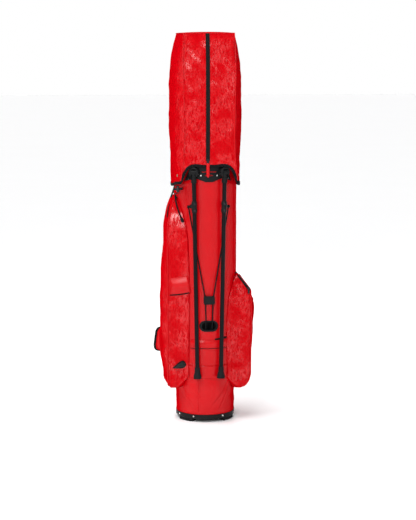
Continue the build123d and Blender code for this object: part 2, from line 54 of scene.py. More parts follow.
# ---- small helpers --------------------------------------------------------------------------------
def smooth_curve(stations, values):
    """A smooth function through the given values, flat past both ends."""
    x = np.array(stations, float)
    y = np.array(values, float)
    slope = np.gradient(y, x)

    def at(t):
        t = np.clip(t, x[0], x[-1])
        i = np.clip(np.searchsorted(x, t) - 1, 0, len(x) - 2)
        h = x[i + 1] - x[i]
        s = (t - x[i]) / h
        a = (1 + 2 * s) * (1 - s) ** 2 * y[i] + s * (1 - s) ** 2 * h * slope[i]
        b = s * s * (3 - 2 * s) * y[i + 1] - s * s * (1 - s) * h * slope[i + 1]
        return a + b

    return at


def ripple(point, size, amount, seed=0.0):
    """Soft three-dimensional noise at a point in millimetres."""
    place = Vector((point[0] / size + seed, point[1] / size - seed, point[2] / size + 2 * seed))
    return amount * noise.noise(place)


def squared(value, power):
    """A sine or cosine raised to a power with its sign kept, which squares a round outline."""
    return np.sign(value) * abs(value) ** power


def smooth_path(points, count):
    """A path of count points, smooth through the given ones."""
    spots = np.array(points, float)
    curves = [smooth_curve(range(len(spots)), spots[:, axis]) for axis in range(spots.shape[1])]
    return [np.array([float(curve(t)) for curve in curves]) for t in np.linspace(0, len(spots) - 1, count)]


def tangents(line):
    """The step from the neighbour before each point to the neighbour after it."""
    last = len(line) - 1
    return [line[min(i + 1, last)] - line[max(i - 1, 0)] for i in range(len(line))]


def new_object(name, data):
    """An object in the scene that shows some data."""
    obj = bpy.data.objects.new(name, data)
    bpy.context.scene.collection.objects.link(obj)
    return obj


def mesh_object(name, points, faces, materials, indices, smooth):
    """A mesh object from points in metres, with each face's material index and smoothness."""
    mesh = bpy.data.meshes.new(name)
    mesh.from_pydata(points, [], faces)
    for material in materials:
        mesh.materials.append(material)
    mesh.polygons.foreach_set("material_index", indices)
    mesh.polygons.foreach_set("use_smooth", smooth)
    mesh.update()
    return new_object(name, mesh)


def add_object(name, vertices, faces, materials, smooth=True, indices=None):
    """A mesh object from points in millimetres."""
    points = [tuple(MM * float(c) for c in v) for v in vertices]
    return mesh_object(name, points, faces, materials, indices or [0] * len(faces), [smooth] * len(faces))


def grid_faces(rows, columns, closed):
    """Quads of a grid of rows by columns, joined end to end when closed."""
    faces = []
    for row in range(rows - 1):
        for column in range(columns if closed else columns - 1):
            right = (column + 1) % columns
            faces.append((row * columns + column, row * columns + right,
                          (row + 1) * columns + right, (row + 1) * columns + column))
    return faces


def apply_modifiers(obj):
    """Replace an object's mesh with the result of its modifiers."""
    graph = bpy.context.evaluated_depsgraph_get()
    result = bpy.data.meshes.new_from_object(obj.evaluated_get(graph))
    obj.modifiers.clear()
    obj.data = result


def thicken(obj, thickness, inner_material=0):
    """Give a sheet a wall, inward from its surface."""
    wall = obj.modifiers.new("wall", "SOLIDIFY")
    wall.thickness = thickness * MM
    wall.offset = -1
    wall.material_offset = inner_material
    apply_modifiers(obj)


def finish_piece(obj, body, slot_name, *nodes):
    """Ride a piece on its body and hide the CAD nodes that it stands for; its finish's name is not used."""
    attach(obj, body)
    if nodes:
        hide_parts(*nodes)
    return obj


def sweep(name, path, section, normals, materials, closed_path=False, caps=True, smooth=True):
    """A section of (out, side) points carried along a path, out along each point's normal."""
    path = [np.array(p, float) for p in path]
    count = len(path)
    vertices = []
    for i, point in enumerate(path):
        before = path[i - 1] if (i > 0 or closed_path) else path[i]
        after = path[(i + 1) % count] if (i < count - 1 or closed_path) else path[i]
        along = after - before
        along /= np.linalg.norm(along)
        out = np.array(normals[i], float)
        out -= along * out.dot(along)
        out /= np.linalg.norm(out)
        side = np.cross(along, out)
        vertices += [point + out * o + side * s for o, s in section]
    size = len(section)
    faces = []
    for i in range(count if closed_path else count - 1):
        for j in range(size):
            a, b = i * size, ((i + 1) % count) * size
            k = (j + 1) % size
            faces.append((a + j, a + k, b + k, b + j))
    if caps and not closed_path:
        faces.append(tuple(range(size - 1, -1, -1)))
        faces.append(tuple((count - 1) * size + j for j in range(size)))
    return add_object(name, vertices, faces, materials, smooth)


def round_section(radius, sides=10):
    """A round section for sweep."""
    turns = [2 * math.pi * i / sides for i in range(sides)]
    return [(radius * math.cos(t), radius * math.sin(t)) for t in turns]


def band_section(thickness, width, edge=0.6):
    """A flat section for sweep with eased corners, thickness outward and width across."""
    half = width / 2
    return [(0, -half), (thickness - edge, -half), (thickness, -half + edge), (thickness, half - edge),
            (thickness - edge, half), (0, half)]


def join(name, objects):
    """Join meshes that make one piece."""
    vertices, faces, indices, smooth, materials = [], [], [], [], []
    for obj in objects:
        base = len(vertices)
        vertices += [obj.matrix_world @ v.co for v in obj.data.vertices]
        slots = []
        for material in obj.data.materials:
            if material not in materials:
                materials.append(material)
            slots.append(materials.index(material))
        for polygon in obj.data.polygons:
            faces.append(tuple(base + i for i in polygon.vertices))
            indices.append(slots[polygon.material_index])
            smooth.append(polygon.use_smooth)
        bpy.data.objects.remove(obj)
    return mesh_object(name, vertices, faces, materials, indices, smooth)


def finish_leather(name, parts, *nodes, body="bag"):
    """Join leather parts and their stitches into one finished piece."""
    finish_piece(join(name, parts), body, "red_leather", *nodes)


def stitches(name, path, normals, material, pitch=4.6, length=3.2, radius=0.42, lift=0.15):
    """A row of raised stitches along a path, evenly spaced."""
    points = np.array(path, float)
    outs = np.array(normals, float)
    runs = np.linalg.norm(np.diff(points, axis=0), axis=1)
    distance = np.concatenate(([0], np.cumsum(runs)))
    count = max(1, int(distance[-1] / pitch))
    vertices, faces = [], []

    def sample(d, data):
        return np.array([np.interp(d, distance, data[:, axis]) for axis in range(3)])

    for i in range(count):
        centre = (i + 0.5) * distance[-1] / count
        start, stop = sample(centre - length / 2, points), sample(centre + length / 2, points)
        out = sample(centre, outs)
        along = stop - start
        along /= max(np.linalg.norm(along), 1e-6)
        out -= along * out.dot(along)
        out /= max(np.linalg.norm(out), 1e-6)
        side = np.cross(along, out)
        middle = (start + stop) / 2 + out * radius
        base = len(vertices)
        ring = [(-0.2, -1), (-0.2, 1), (0.7, 0.6), (0.7, -0.6)]
        for anchor, size in ((start, 0.45), (middle, 1.0), (stop, 0.45)):
            vertices += [anchor + out * (o * radius * size + lift) + side * (s * radius * size)
                         for o, s in ring]
        for part in (0, 4):
            for j in range(4):
                k = (j + 1) % 4
                faces.append((base + part + j, base + part + k, base + part + 4 + k, base + part + 4 + j))
        faces.append((base + 3, base + 2, base + 1, base))
        faces.append((base + 8, base + 9, base + 10, base + 11))
    return add_object(name, vertices, faces, [material])


def stitch_spots(name, spots):
    """A row of thread stitches through pairs of a point and its outward direction."""
    points, outs = zip(*spots)
    return stitches(name, points, outs, THREAD)


# ---- materials --------------------------------------------------------------------------------------
MIX_FACTOR, MIX_FIRST, MIX_SECOND, MIX_COLOUR_OUT = 0, 6, 7, 2     # the colour sockets of a Mix node


def set_range(node, low, high, to_low, to_high):
    """Set what a Map Range node maps from and to."""
    for socket, number in (("From Min", low), ("From Max", high), ("To Min", to_low), ("To Max", to_high)):
        node.inputs[socket].default_value = number


class Material:
    """A Principled material whose detail comes from object coordinates."""

    def __init__(self, name, colour, roughness, **sockets):
        self.material = bpy.data.materials.new(name)
        self.material.use_nodes = True
        self.nodes = self.material.node_tree.nodes
        self.links = self.material.node_tree.links
        self.shader = self.nodes["Principled BSDF"]
        self.colour = colour
        self.shader.inputs["Base Color"].default_value = (*colour, 1)
        self.shader.inputs["Roughness"].default_value = roughness
        for socket, value in sockets.items():
            self.shader.inputs[socket.replace("_", " ")].default_value = value
        self.place = self.nodes.new("ShaderNodeTexCoord").outputs["Object"]
        self.bump_input = None

    def node(self, kind, **values):
        """A shader node with its sockets and settings given by name."""
        made = self.nodes.new("ShaderNode" + kind)
        for key, value in values.items():
            if key in made.inputs:
                made.inputs[key].default_value = value
            else:
                setattr(made, key, value)
        return made

    def mapping(self, scale, turn=(0, 0, 0)):
        """Object coordinates, stretched and then turned by degrees."""
        made = self.node("Mapping")
        made.inputs["Scale"].default_value = scale
        made.inputs["Rotation"].default_value = [math.radians(angle) for angle in turn]
        self.links.new(self.place, made.inputs["Vector"])
        return made.outputs["Vector"]

    def noise(self, scale, detail=3.0, roughness=0.5, vector=None, distortion=0.0):
        """Cloudy noise, in cells per metre."""
        made = self.node("TexNoise", Scale=scale, Detail=detail, Roughness=roughness, Distortion=distortion)
        self.links.new(vector or self.place, made.inputs["Vector"])
        return made.outputs["Fac"]

    def cells(self, scale):
        """The distance from the middle of the nearest pebble, in cells per metre."""
        made = self.node("TexVoronoi", Scale=scale, feature="F1")
        self.links.new(self.place, made.inputs["Vector"])
        return made.outputs["Distance"]

    def remap(self, value, low, high, to_low, to_high):
        """Map a value from one range to another."""
        made = self.node("MapRange")
        set_range(made, low, high, to_low, to_high)
        self.links.new(value, made.inputs["Value"])
        return made.outputs["Result"]

    def maths(self, operation, first, second):
        """The result of an operation on two numbers or sockets."""
        made = self.node("Math", operation=operation)
        for socket, value in zip(made.inputs, (first, second)):
            if isinstance(value, (int, float)):
                socket.default_value = value
            else:
                self.links.new(value, socket)
        return made.outputs["Value"]

    def vary_colour(self, factor, dark, light):
        """Mix two shades of the base colour by a factor."""
        mix = self.node("Mix", data_type="RGBA")
        mix.inputs[MIX_FIRST].default_value = (*[c * dark for c in self.colour], 1)
        mix.inputs[MIX_SECOND].default_value = (*[min(1, c * light) for c in self.colour], 1)
        self.links.new(factor, mix.inputs[MIX_FACTOR])
        self.links.new(mix.outputs[MIX_COLOUR_OUT], self.shader.inputs["Base Color"])

    def gloss(self, weight, fade, mask=None):
        """A clear coat that shows on faces turned to the eye and fades towards the outline."""
        facing = self.node("LayerWeight", Blend=0.5).outputs["Facing"]
        coat = self.remap(facing, 0.25, fade, weight, 0.0)
        if mask:
            coat = self.maths("MULTIPLY", coat, mask)
        self.links.new(coat, self.shader.inputs["Coat Weight"])

    def vary_roughness(self, factor, low, high):
        """Roughness between two values, by a noise factor."""
        self.links.new(self.remap(factor, 0.3, 0.7, low, high), self.shader.inputs["Roughness"])

    def bump(self, height, distance, strength=1.0, coat=False):
        """Add a bump, on top of any added before; the clear coat follows only the ones marked."""
        made = self.node("Bump", Strength=strength, Distance=distance * MM)
        self.links.new(height, made.inputs["Height"])
        if self.bump_input:
            self.links.new(self.bump_input, made.inputs["Normal"])
        self.bump_input = made.outputs["Normal"]
        self.links.new(self.bump_input, self.shader.inputs["Normal"])
        if coat:
            self.links.new(self.bump_input, self.shader.inputs["Coat Normal"])


RED = (0.55, 0.0008, 0.0040)


def smooth_leather(name):
    """Plain leather with a soft pebble. Its shine is all in the coat, so the white studio adds no haze."""
    made = Material(name, RED, 0.5, Coat_Roughness=0.26, Specular_IOR_Level=0.0)
    made.gloss(0.42, 0.6)
    made.vary_colour(made.noise(16, 4), 0.88, 1.07)
    made.vary_roughness(made.noise(34, 3), 0.32, 0.46)
    made.bump(made.noise(22, 3), 1.6, 0.35, coat=True)
    made.bump(made.cells(820), 0.16, 0.55)
    made.bump(made.noise(2300, 2), 0.06, 0.5)
    return made.material


def crinkle_leather(name):
    """Embossed leather: short raised strokes running two ways over a fine grain, with painted shade darker in
    the creases and painted light on the strokes.
    """
    made = Material(name, RED, 0.5, Coat_Roughness=0.17, Specular_IOR_Level=0.0)
    strokes = []
    for turn, scale, seed in (((8, 24, 6), (120, 120, 38), 0.5), ((-10, -30, -8), (130, 130, 44), 0.8)):
        field = made.noise(1.0, 1.5, 0.5, made.mapping(scale, turn), seed)
        ridge = made.maths("ABSOLUTE", made.maths("SUBTRACT", field, 0.5), 0)
        strokes.append(made.remap(ridge, 0.0, 0.12, 1.0, 0.0))
    both = made.maths("MAXIMUM", strokes[0], strokes[1])
    patches = made.remap(made.noise(20, 2), 0.36, 0.56, 0.3, 1.0)
    height = made.maths("MULTIPLY", both, patches)
    # painted shade and light: the colour follows the stroke height, darker down in the creases and lighter on
    # the raised strokes
    made.vary_colour(height, 0.84, 1.08)
    made.vary_roughness(made.noise(48, 3), 0.30, 0.46)
    made.gloss(1.0, 0.6, made.maths("ADD", made.maths("MULTIPLY", height, height), 0.05))
    made.bump(made.noise(24, 3), 2.6, 0.6, coat=True)
    made.bump(height, 1.3, 0.8)
    made.bump(made.cells(1000), 0.12, 0.5)
    return made.material


def webbing(name, colour, pitch=1.5):
    """Woven tape: two sets of threads across each other, pitch millimetres apart."""
    made = Material(name, colour, 0.78, Specular_IOR_Level=0.05)
    scale = 0.5 * 1000 / pitch / 6.283
    along, across = [made.node("TexWave", Scale=scale, bands_direction=way) for way in ("Z", "DIAGONAL")]
    for wave in (along, across):
        made.links.new(made.place, wave.inputs["Vector"])
    weave = made.maths("MULTIPLY", along.outputs["Fac"], across.outputs["Fac"])
    made.vary_colour(weave, 0.7, 1.7)
    made.bump(weave, 0.35, 0.8)
    made.bump(made.noise(900, 2), 0.1, 0.5)
    return made.material


def moulded(name, colour, roughness, grain=650, depth=0.06):
    """Moulded plastic, rubber or paint with a fine grain."""
    made = Material(name, colour, roughness, Specular_IOR_Level=0.09)
    made.vary_colour(made.noise(45, 3), 0.85, 1.25)
    made.vary_roughness(made.noise(80, 3), roughness * 0.85, min(1.0, roughness * 1.2))
    made.bump(made.noise(grain, 3), depth, 0.6)
    return made.material


def metal(name, colour, roughness):
    """Plated metal, faintly brushed."""
    made = Material(name, colour, roughness, Metallic=1.0)
    made.vary_colour(made.noise(120, 4), 0.85, 1.08)
    made.vary_roughness(made.noise(260, 4), roughness * 0.7, roughness * 1.5)
    made.bump(made.noise(1.0, 2, 0.5, made.mapping((2600, 2600, 300))), 0.03, 0.5)
    return made.material


def pad_mesh(name, colour):
    """Open knitted mesh over foam."""
    made = Material(name, colour, 0.85, Sheen_Weight=0.04, Sheen_Roughness=0.6, Specular_IOR_Level=0.06)
    holes = made.remap(made.cells(430), 0.15, 0.5, 0.0, 1.0)
    made.vary_colour(holes, 0.55, 2.2)
    made.bump(holes, 0.5, 0.8)
    made.bump(made.noise(1500, 2), 0.08, 0.5)
    return made.material


LEATHER = smooth_leather("red_leather")
CRINKLE = crinkle_leather("crinkle_leather")
THREAD = moulded("red_thread", (0.55, 0.006, 0.010), 0.6, 2400, 0.1)
WEBBING = webbing("black_webbing", (0.008, 0.008, 0.009))
TAPE = webbing("zip_tape", (0.009, 0.010, 0.010), 0.9)
PLASTIC = moulded("black_plastic", (0.009, 0.0095, 0.010), 0.38)
COIL = moulded("zip_coil", (0.014, 0.015, 0.016), 0.34, 1200)
RUBBER = moulded("black_rubber", (0.010, 0.010, 0.011), 0.62, 420, 0.12)
SOCKET = moulded("socket_rubber", (0.022, 0.025, 0.024), 0.42, 420, 0.10)
TUBE = moulded("black_tube", (0.005, 0.005, 0.006), 0.32, 900, 0.03)
STEEL = metal("nickel", (0.60, 0.59, 0.57), 0.25)
BRASS = metal("snap_metal", (0.30, 0.29, 0.20), 0.35)
GUNMETAL = metal("black_nickel", (0.034, 0.035, 0.038), 0.28)
MESH = pad_mesh("pad_mesh", (0.016, 0.016, 0.018))
FLEECE = moulded("divider_fleece", (0.035, 0.035, 0.038), 0.95, 1400, 0.3)
LINING = webbing("hood_lining", (0.02, 0.02, 0.022), 1.1)

CAD_FINISH = {
    PLASTIC: ("base_cup", "heel", "grommet", "stand_head_bracket", "leg_ferrule_right", "leg_ferrule_left",
              "rod_clip", "cord_toggle", "collar", "divider_top", "rod_channel"),
    RUBBER: ("rear_feet", "heel_feet", "leg_foot_right", "leg_foot_left"),
    STEEL: ("base_rivets", "heel_rivets", "heel_hinge_pin", "bracket_screws", "leg_springs"),
    TUBE: ("leg_tube_right", "leg_tube_left", "upper_rod_right", "upper_rod_left", "push_rods"),
    GUNMETAL: ("leg_pivot_pins", "pull_ring", "hood_zip_slider", "apparel_zip_slider", "ball_zip_slider"),
    FLEECE: ("full_length_dividers",),
    BRASS: ("hood_snaps",),
}
for finish, names in CAD_FINISH.items():
    for node_name in names:
        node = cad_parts[node_name]
        node.data.materials.clear()
        node.data.materials.append(finish)


# ---- camera ------------------------------------------------------------------------------------------
def make_camera():
    """The photograph's view: a long lens, a little from the left and a little above."""
    data = bpy.data.cameras.new("camera")
    data.sensor_fit = "VERTICAL"
    data.sensor_height = 36
    data.lens = 101.7
    camera = new_object("camera", data)
    turn = math.radians(-7)
    distance, height, pitch, aim = 5.0, 1.25, 8.0, 0.117
    camera.location = (math.sin(turn) * distance, -math.cos(turn) * distance, height)
    camera.rotation_euler = (math.radians(90 - pitch), 0, turn - math.radians(aim))
    bpy.context.scene.camera = camera


make_camera()


# ---- cord pull, hanging from the ring above the apparel pocket ------------------------------------------
def make_cord():
    """A limp cord down to its toggle."""
    route = ((-110, -80, 781.5), (-110, -85, 765), (-106, -88.5, 744), (-99, -89.5, 722), (-91, -88.5, 703))
    curve = bpy.data.curves.new("cord_pull", "CURVE")
    curve.dimensions = "3D"
    curve.bevel_depth = 2.8 * MM
    curve.bevel_resolution = 4
    curve.resolution_u = 16
    curve.use_fill_caps = True
    spline = curve.splines.new("NURBS")
    spline.points.add(len(route) - 1)
    for point, place in zip(spline.points, route):
        point.co = (*[MM * c for c in place], 1)
    spline.order_u = 3
    spline.use_endpoint_u = True
    curve.materials.append(WEBBING)
    cord = new_object("cord_pull", curve)
    finish_piece(cord, "bag", "black_webbing", "pull_cord")


make_cord()


# ---- travel hood ---------------------------------------------------------------------------------------
HOOD_LOW, HOOD_TOP, ZIP_X = 806.0, 1317.0, -5.0
hood_half = smooth_curve((806, 900, 1000, 1095, 1180, 1240, 1285, 1317),
                         (115, 119, 122.5, 123.5, 120.5, 114.5, 105, 94.5))
hood_depth = smooth_curve((806, 1240, 1285, 1317), (116, 116, 113, 106))
hood_flat = smooth_curve((806, 850, 900, 1095, 1240, 1317), (99, 93, 88, 86, 88, 85))
arch_height = smooth_curve((0, 22, 42, 58, 69, 77, 83, 89, 94, 100, 106, 111, 115),
                           (875, 875, 877.5, 876, 870, 860, 848, 831, 822, 819, 817, 813, 806))


def hood_columns():
    """Stations round the hood from the middle of the front: (panel, place along it)."""
    front = [("front", 1 - (1 - t) ** 1.4) for t in np.linspace(0, 1, 34, endpoint=False)]
    side = [("right", t) for t in np.linspace(0, 1, 44, endpoint=False)]
    back = [("back", t) for t in np.linspace(1, -1, 44, endpoint=False)]
    other = [("left", t) for t in np.linspace(1, 0, 44, endpoint=False)]
    last = [("front", t ** 1.4 - 1) for t in np.linspace(0, 1, 34, endpoint=False)]
    return front + side + back + other + last


def hood_outline(panel, t, z):
    """A point on the hood's outside and its outward direction, before creasing."""
    half, depth, flat = hood_half(z), hood_depth(z), hood_flat(z)
    if panel in ("front", "back"):
        sign = FRONT if panel == "front" else BACK
        bulge = 3.0 * (1 - t * t)
        return np.array((t * flat, sign * (depth + bulge), z)), np.array((0.07 * t, sign, 0.0))
    centre = (half ** 2 - flat ** 2 - depth ** 2) / (2 * (half - flat))
    radius = half - centre
    limit = math.asin(depth / radius)
    angle = limit * (2 * t - 1)
    sign = 1 if panel == "right" else -1
    out = np.array((sign * math.cos(angle), math.sin(angle), 0.0))
    return np.array((sign * (centre + radius * math.cos(angle)), radius * math.sin(angle), z)), out


def hood_edge(panel, t):
    """The height of the hood's lower edge at a station."""
    z = HOOD_LOW
    for _ in range(6):
        point, _out = hood_outline(panel, t, z)
        z = float(arch_height(abs(point[0]))) if point[1] < 0 else HOOD_LOW
    return z


def hood_point(panel, t, z):
    """A point on the finished hood: its outline with soft dents and slack between the seams."""
    point, out = hood_outline(panel, t, z)
    fade = min(1.0, (HOOD_TOP - z) / 60) * min(1.0, max(0.0, (z - 820) / 80))
    zip_fade = min(1.0, abs(point[0] - ZIP_X) / 22) if panel == "front" else 1.0
    slanted = (point[0], point[1], point[2] * 1.6 + point[0] * 0.7)
    dent = ripple(point, 95, 3.0, 3.1) + ripple(slanted, 38, 1.3, 7.7)
    lean = 1 if point[0] > ZIP_X else -1
    drape = ripple((point[0] * 0.3, point[1] * 0.5, point[2] + lean * point[0] * 0.55), 30, 2.6, 4.4)
    dent += drape * abs(ripple(point, 130, 1.8, 8.8))
    seam = abs(t) if panel in ("front", "back") else abs(2 * t - 1)
    tuck = -0.8 * max(0.0, seam - 0.86) / 0.14
    return point + out * ((dent - 1.0) * fade * zip_fade * (1 - 0.7 * seam ** 4) + tuck), out


def make_hood():
    """The hood's leather and lid, its bound lower edge, and the piped and stitched seams."""
    columns = hood_columns()
    count = len(columns)
    edges = [hood_edge(*column) for column in columns]
    rows = 104
    vertices = []
    for row in range(rows):
        share = row / (rows - 1)
        for (panel, t), edge in zip(columns, edges):
            z = edge + (HOOD_TOP - edge) * share
            vertices.append(hood_point(panel, t, z)[0])
    lid_steps = 9
    for step in range(1, lid_steps + 1):
        share = 1 - step / (lid_steps + 1)
        for panel, t in columns:
            point, _out = hood_outline(panel, t, HOOD_TOP)
            lift = 3.5 * (1 - share ** 2) + 1.5 * math.sin(min(1, step / 2) * math.pi / 2)
            lift += ripple((point[0] * share, point[1] * share, 0), 60, 1.2, 1.7) * (1 - share)
            vertices.append(np.array((point[0] * share, point[1] * share, HOOD_TOP + lift)))
    faces = grid_faces(rows + lid_steps, count, True)
    last = (rows + lid_steps - 1) * count
    vertices.append(np.array((0, 0, HOOD_TOP + 5.0)))
    top = len(vertices) - 1
    faces += [(last + c, last + (c + 1) % count, top) for c in range(count)]
    hood = add_object("hood_leather", vertices, faces, [CRINKLE, LINING])
    thicken(hood, 2.2, 1)
    finish_piece(hood, "hood", "crinkle_leather", "hood_shell")

    rim = [hood_point(panel, t, edge)[0] for (panel, t), edge in zip(columns, edges)]
    outs = [hood_outline(panel, t, edge)[1] for (panel, t), edge in zip(columns, edges)]
    binding_section = [(1.3, -0.5), (1.5, 1.0), (1.5, 7.4), (1.2, 8.6), (-2.4, 8.6), (-3.4, 7.4), (-3.4, 0.5),
                       (-2.6, -1.0), (0.6, -1.0)]
    binding = sweep("hood_edge_binding", rim, [(o, -s) for o, s in binding_section][::-1], outs, [WEBBING],
                    closed_path=True)
    finish_piece(binding, "hood", "black_webbing", "hood_binding")

    corners = [(f"{panel}_{side}", panel, t) for panel in ("front", "back") for t, side in SIDES]
    for label, panel, t in corners:
        low = hood_edge(panel, t) + 10
        heights = np.linspace(low, HOOD_TOP - 1, 70)
        line = [hood_outline(panel, t, z)[0] for z in heights]
        out = [(0.75 * np.sign(t), (FRONT if panel == "front" else BACK), 0)] * len(line)
        piping = sweep(f"hood_piping_{label}", line, round_section(1.7), out, [LEATHER])
        beside = [hood_point(panel, t * 0.94, z)[0] for z in heights]
        faced = [hood_outline(panel, t * 0.94, z)[1] for z in heights]
        row = stitches(f"hood_stitch_{label}", beside, faced, THREAD)
        finish_leather(f"hood_seam_{label}", [piping, row], body="hood")
    ring = [hood_outline(panel, t, HOOD_TOP)[0] for panel, t in columns]
    out = [hood_outline(panel, t, HOOD_TOP)[1] for panel, t in columns]
    crown = sweep("hood_piping_top", ring, round_section(1.6), out, [LEATHER], closed_path=True)
    finish_piece(crown, "hood", "red_leather")


make_hood()


# ---- zips -----------------------------------------------------------------------------------------------
def zip_line(name, start, stop, out, body, node, width=13.5, follow=None):
    """A zip closed from start to stop: a woven tape, a raised coil of teeth and a stitched edge."""
    pitch = 2.1
    start, stop, out = (np.array(v, float) for v in (start, stop, out))
    length = np.linalg.norm(stop - start)
    along = (stop - start) / length
    out -= along * out.dot(along)
    out /= np.linalg.norm(out)
    side = np.cross(along, out)
    steps = max(8, int(length / 9))
    places = [start + along * length * i / steps for i in range(steps + 1)]
    if follow:
        places = [follow(place) for place in places]
    half = width / 2
    section = [(0, -half), (0.9, -half), (1.1, -2.4), (1.1, 2.4), (0.9, half), (0, half)]
    tape = sweep(f"{name}_tape", places, section, [out] * len(places), [TAPE], smooth=False)
    teeth_vertices, teeth_faces = [], []
    count = int(length / pitch)
    box = [(x, y, z) for x in (-1, 1) for y in (-1, 1) for z in (-1, 1)]
    quads = ((0, 1, 3, 2), (4, 6, 7, 5), (0, 4, 5, 1), (2, 3, 7, 6), (0, 2, 6, 4), (1, 5, 7, 3))
    for i in range(count):
        centre = start + along * length * (i + 0.5) / count
        if follow:
            centre = follow(centre)
        centre = centre + out * 1.5 + side * (0.7 if i % 2 else -0.7)
        base = len(teeth_vertices)
        for x, y, z in box:
            shrink = 0.75 if z > 0 else 1.0
            teeth_vertices.append(centre + along * x * pitch * 0.33 + side * y * 2.0 * shrink
                                  + out * z * 0.65)
        teeth_faces += [tuple(base + i for i in quad) for quad in quads]
    teeth = add_object(f"{name}_teeth", teeth_vertices, teeth_faces, [COIL], smooth=False)
    rows = []
    for edge in (-1, 1):
        line = [place + side * edge * (half - 1.2) + out * 1.0 for place in places]
        rows.append(stitches(f"{name}_row", line, [out] * len(line), COIL, 3.4, 2.4, 0.3))
    finish_piece(join(name, [tape, teeth] + rows), body, "black_webbing", node)


def hood_front(place):
    """A point of the hood's zip laid on its front panel."""
    point, _out = hood_point("front", ZIP_X / float(hood_flat(place[2])), place[2])
    return np.array((place[0], point[1] - 0.2, place[2]))


zip_line("hood_front_zip", (ZIP_X, -119, 896), (ZIP_X, -119, 1316), (0, -1, 0), "hood", "hood_zip",
         follow=hood_front)


# ---- leather puller on the hood's zip ------------------------------------------------------------------
def make_puller():
    """A folded leather tab, stitched round its edge, hanging from the zip slider."""
    top, low = 890, 842
    heights = np.linspace(top, low, 26)
    half = [min(5.5, 3.2 + 0.6 * (top - z), 2.0 + 1.2 * math.sqrt(max(0, z - low + 0.5))) for z in heights]
    bows = [0.5 * math.sin((top - z) / (top - low) * math.pi) for z in heights]
    vertices = []
    for z, w, bow in zip(heights, half, bows):
        for side, face in ((-1, 0), (-0.8, 1), (0, 1.15), (0.8, 1), (1, 0), (0.8, -1), (0, -1.1), (-0.8, -1)):
            vertices.append((ZIP_X + side * w, -123.2 - bow - face * 1.2, z))
    faces = [tuple(reversed(face)) for face in grid_faces(len(heights), 8, True)]
    faces += [tuple(range(8)), tuple(len(vertices) - 1 - i for i in range(8))]
    tab = add_object("puller_tab", vertices, faces, [LEATHER])
    rows = []
    for side in (-1, 1):
        line = [(ZIP_X + side * (w - 1.5), -124.5 - bow, z) for z, w, bow in zip(heights, half, bows)][3:-3]
        rows.append(stitches(f"puller_row_{side}", line, [(0, -1, 0)] * len(line), THREAD, 3.6, 2.6, 0.32))
    finish_leather("hood_puller_leather", [tab] + rows, "hood_zip_puller", body="hood_puller")


make_puller()


# ---- body wrap -------------------------------------------------------------------------------------------
def tube_point(turn, z, radius):
    """A point round the bag body, turned in degrees from the middle of the front to the right."""
    angle = math.radians(turn)
    return np.array((radius * math.sin(angle), -radius * math.cos(angle), z))


def tube_out(turn):
    """The outward direction at a turn round the bag body."""
    return tube_point(turn, 0, 1)


def make_body():
    """The body's leather with its slot for the rods, and its seams."""
    columns, rows = 200, 150
    heights = np.linspace(BODY_LOW, BODY_HIGH, rows)
    vertices = []
    for z in heights:
        for column in range(columns):
            turn = 360 * column / columns
            point = tube_point(turn, z, TUBE_R)
            slack = abs(ripple(point, 120, 1.2, 5.0))
            slack += abs(ripple((point[0], point[1], z * 0.6), 52, 0.7, 9.0))
            edge = min(1, (z - BODY_LOW) / 40, (BODY_HIGH - z) / 40)
            vertices.append(tube_point(turn, z, TUBE_R + 0.1 - slack * edge))
    body = add_object("body_leather", vertices, grid_faces(rows, columns, True), [LEATHER, LINING])
    thicken(body, 2.6, 1)
    sides, slot_z, slot_half, slot_rise = 40, 334, 26, 17
    turns = [2 * math.pi * i / sides for i in range(sides)]
    points = [(slot_half * squared(math.cos(t), 0.7), y, slot_z + slot_rise * squared(math.sin(t), 0.7))
              for y in (-125, -85) for t in turns]
    faces = grid_faces(2, sides, True) + [tuple(range(sides - 1, -1, -1)), tuple(range(sides, 2 * sides))]
    cutter = add_object("cutter", points, [face[::-1] for face in faces], [LINING], smooth=False)
    cut = body.modifiers.new("slot", "BOOLEAN")
    cut.operation = "DIFFERENCE"
    cut.object = cutter
    apply_modifiers(body)
    bpy.data.objects.remove(cutter)
    finish_piece(body, "bag", "red_leather", "body_shell")

    for label, z, lean in (("low", 199.5, 4.5), ("top", 868, -4.5)):
        turns = np.linspace(0, 360, 160, endpoint=False)
        outs = [tube_out(turn) for turn in turns]
        ring = [tube_point(turn, z, TUBE_R + 0.2) for turn in turns]
        beside = [tube_point(turn, z + lean, TUBE_R) for turn in turns]
        welt = sweep(f"welt_{label}", ring, round_section(1.1, 8), outs, [LEATHER], closed_path=True)
        finish_leather(f"body_seam_{label}", [welt, stitches(f"welt_row_{label}", beside, outs, THREAD)])
    heights = np.linspace(515, 862, 60)
    for label, turn, low in (("right", 63.0, 515), ("left", -68.0, 772)):
        line = [tube_point(turn, z, TUBE_R) for z in heights if z > low]
        beside = [tube_point(turn - 2.6 * np.sign(turn), z, TUBE_R) for z in heights if z > low]
        outs = [tube_out(turn)] * len(line)
        welt = sweep(f"side_welt_{label}", line, round_section(1.0, 8), outs, [LEATHER])
        finish_leather(f"body_side_seam_{label}", [welt, stitches(f"side_row_{label}", beside, outs, THREAD)])


make_body()


# ---- boot: the slack leather between the body and the hinged base ----------------------------------------
boot_radius = smooth_curve((BOOT_LOW, 60, 110, 160, BODY_LOW), (99.3, 101.0, 102.8, 105.2, 107.4))
# Slanting folds: side, first and last turn, height at the first turn, rise per degree, depth.
BOOT_FOLDS = ((1, 22, 66, 48, 3.4, 3.2), (1, 8, 48, 60, 2.2, 1.6), (-1, 30, 70, 44, 3.0, 1.8))


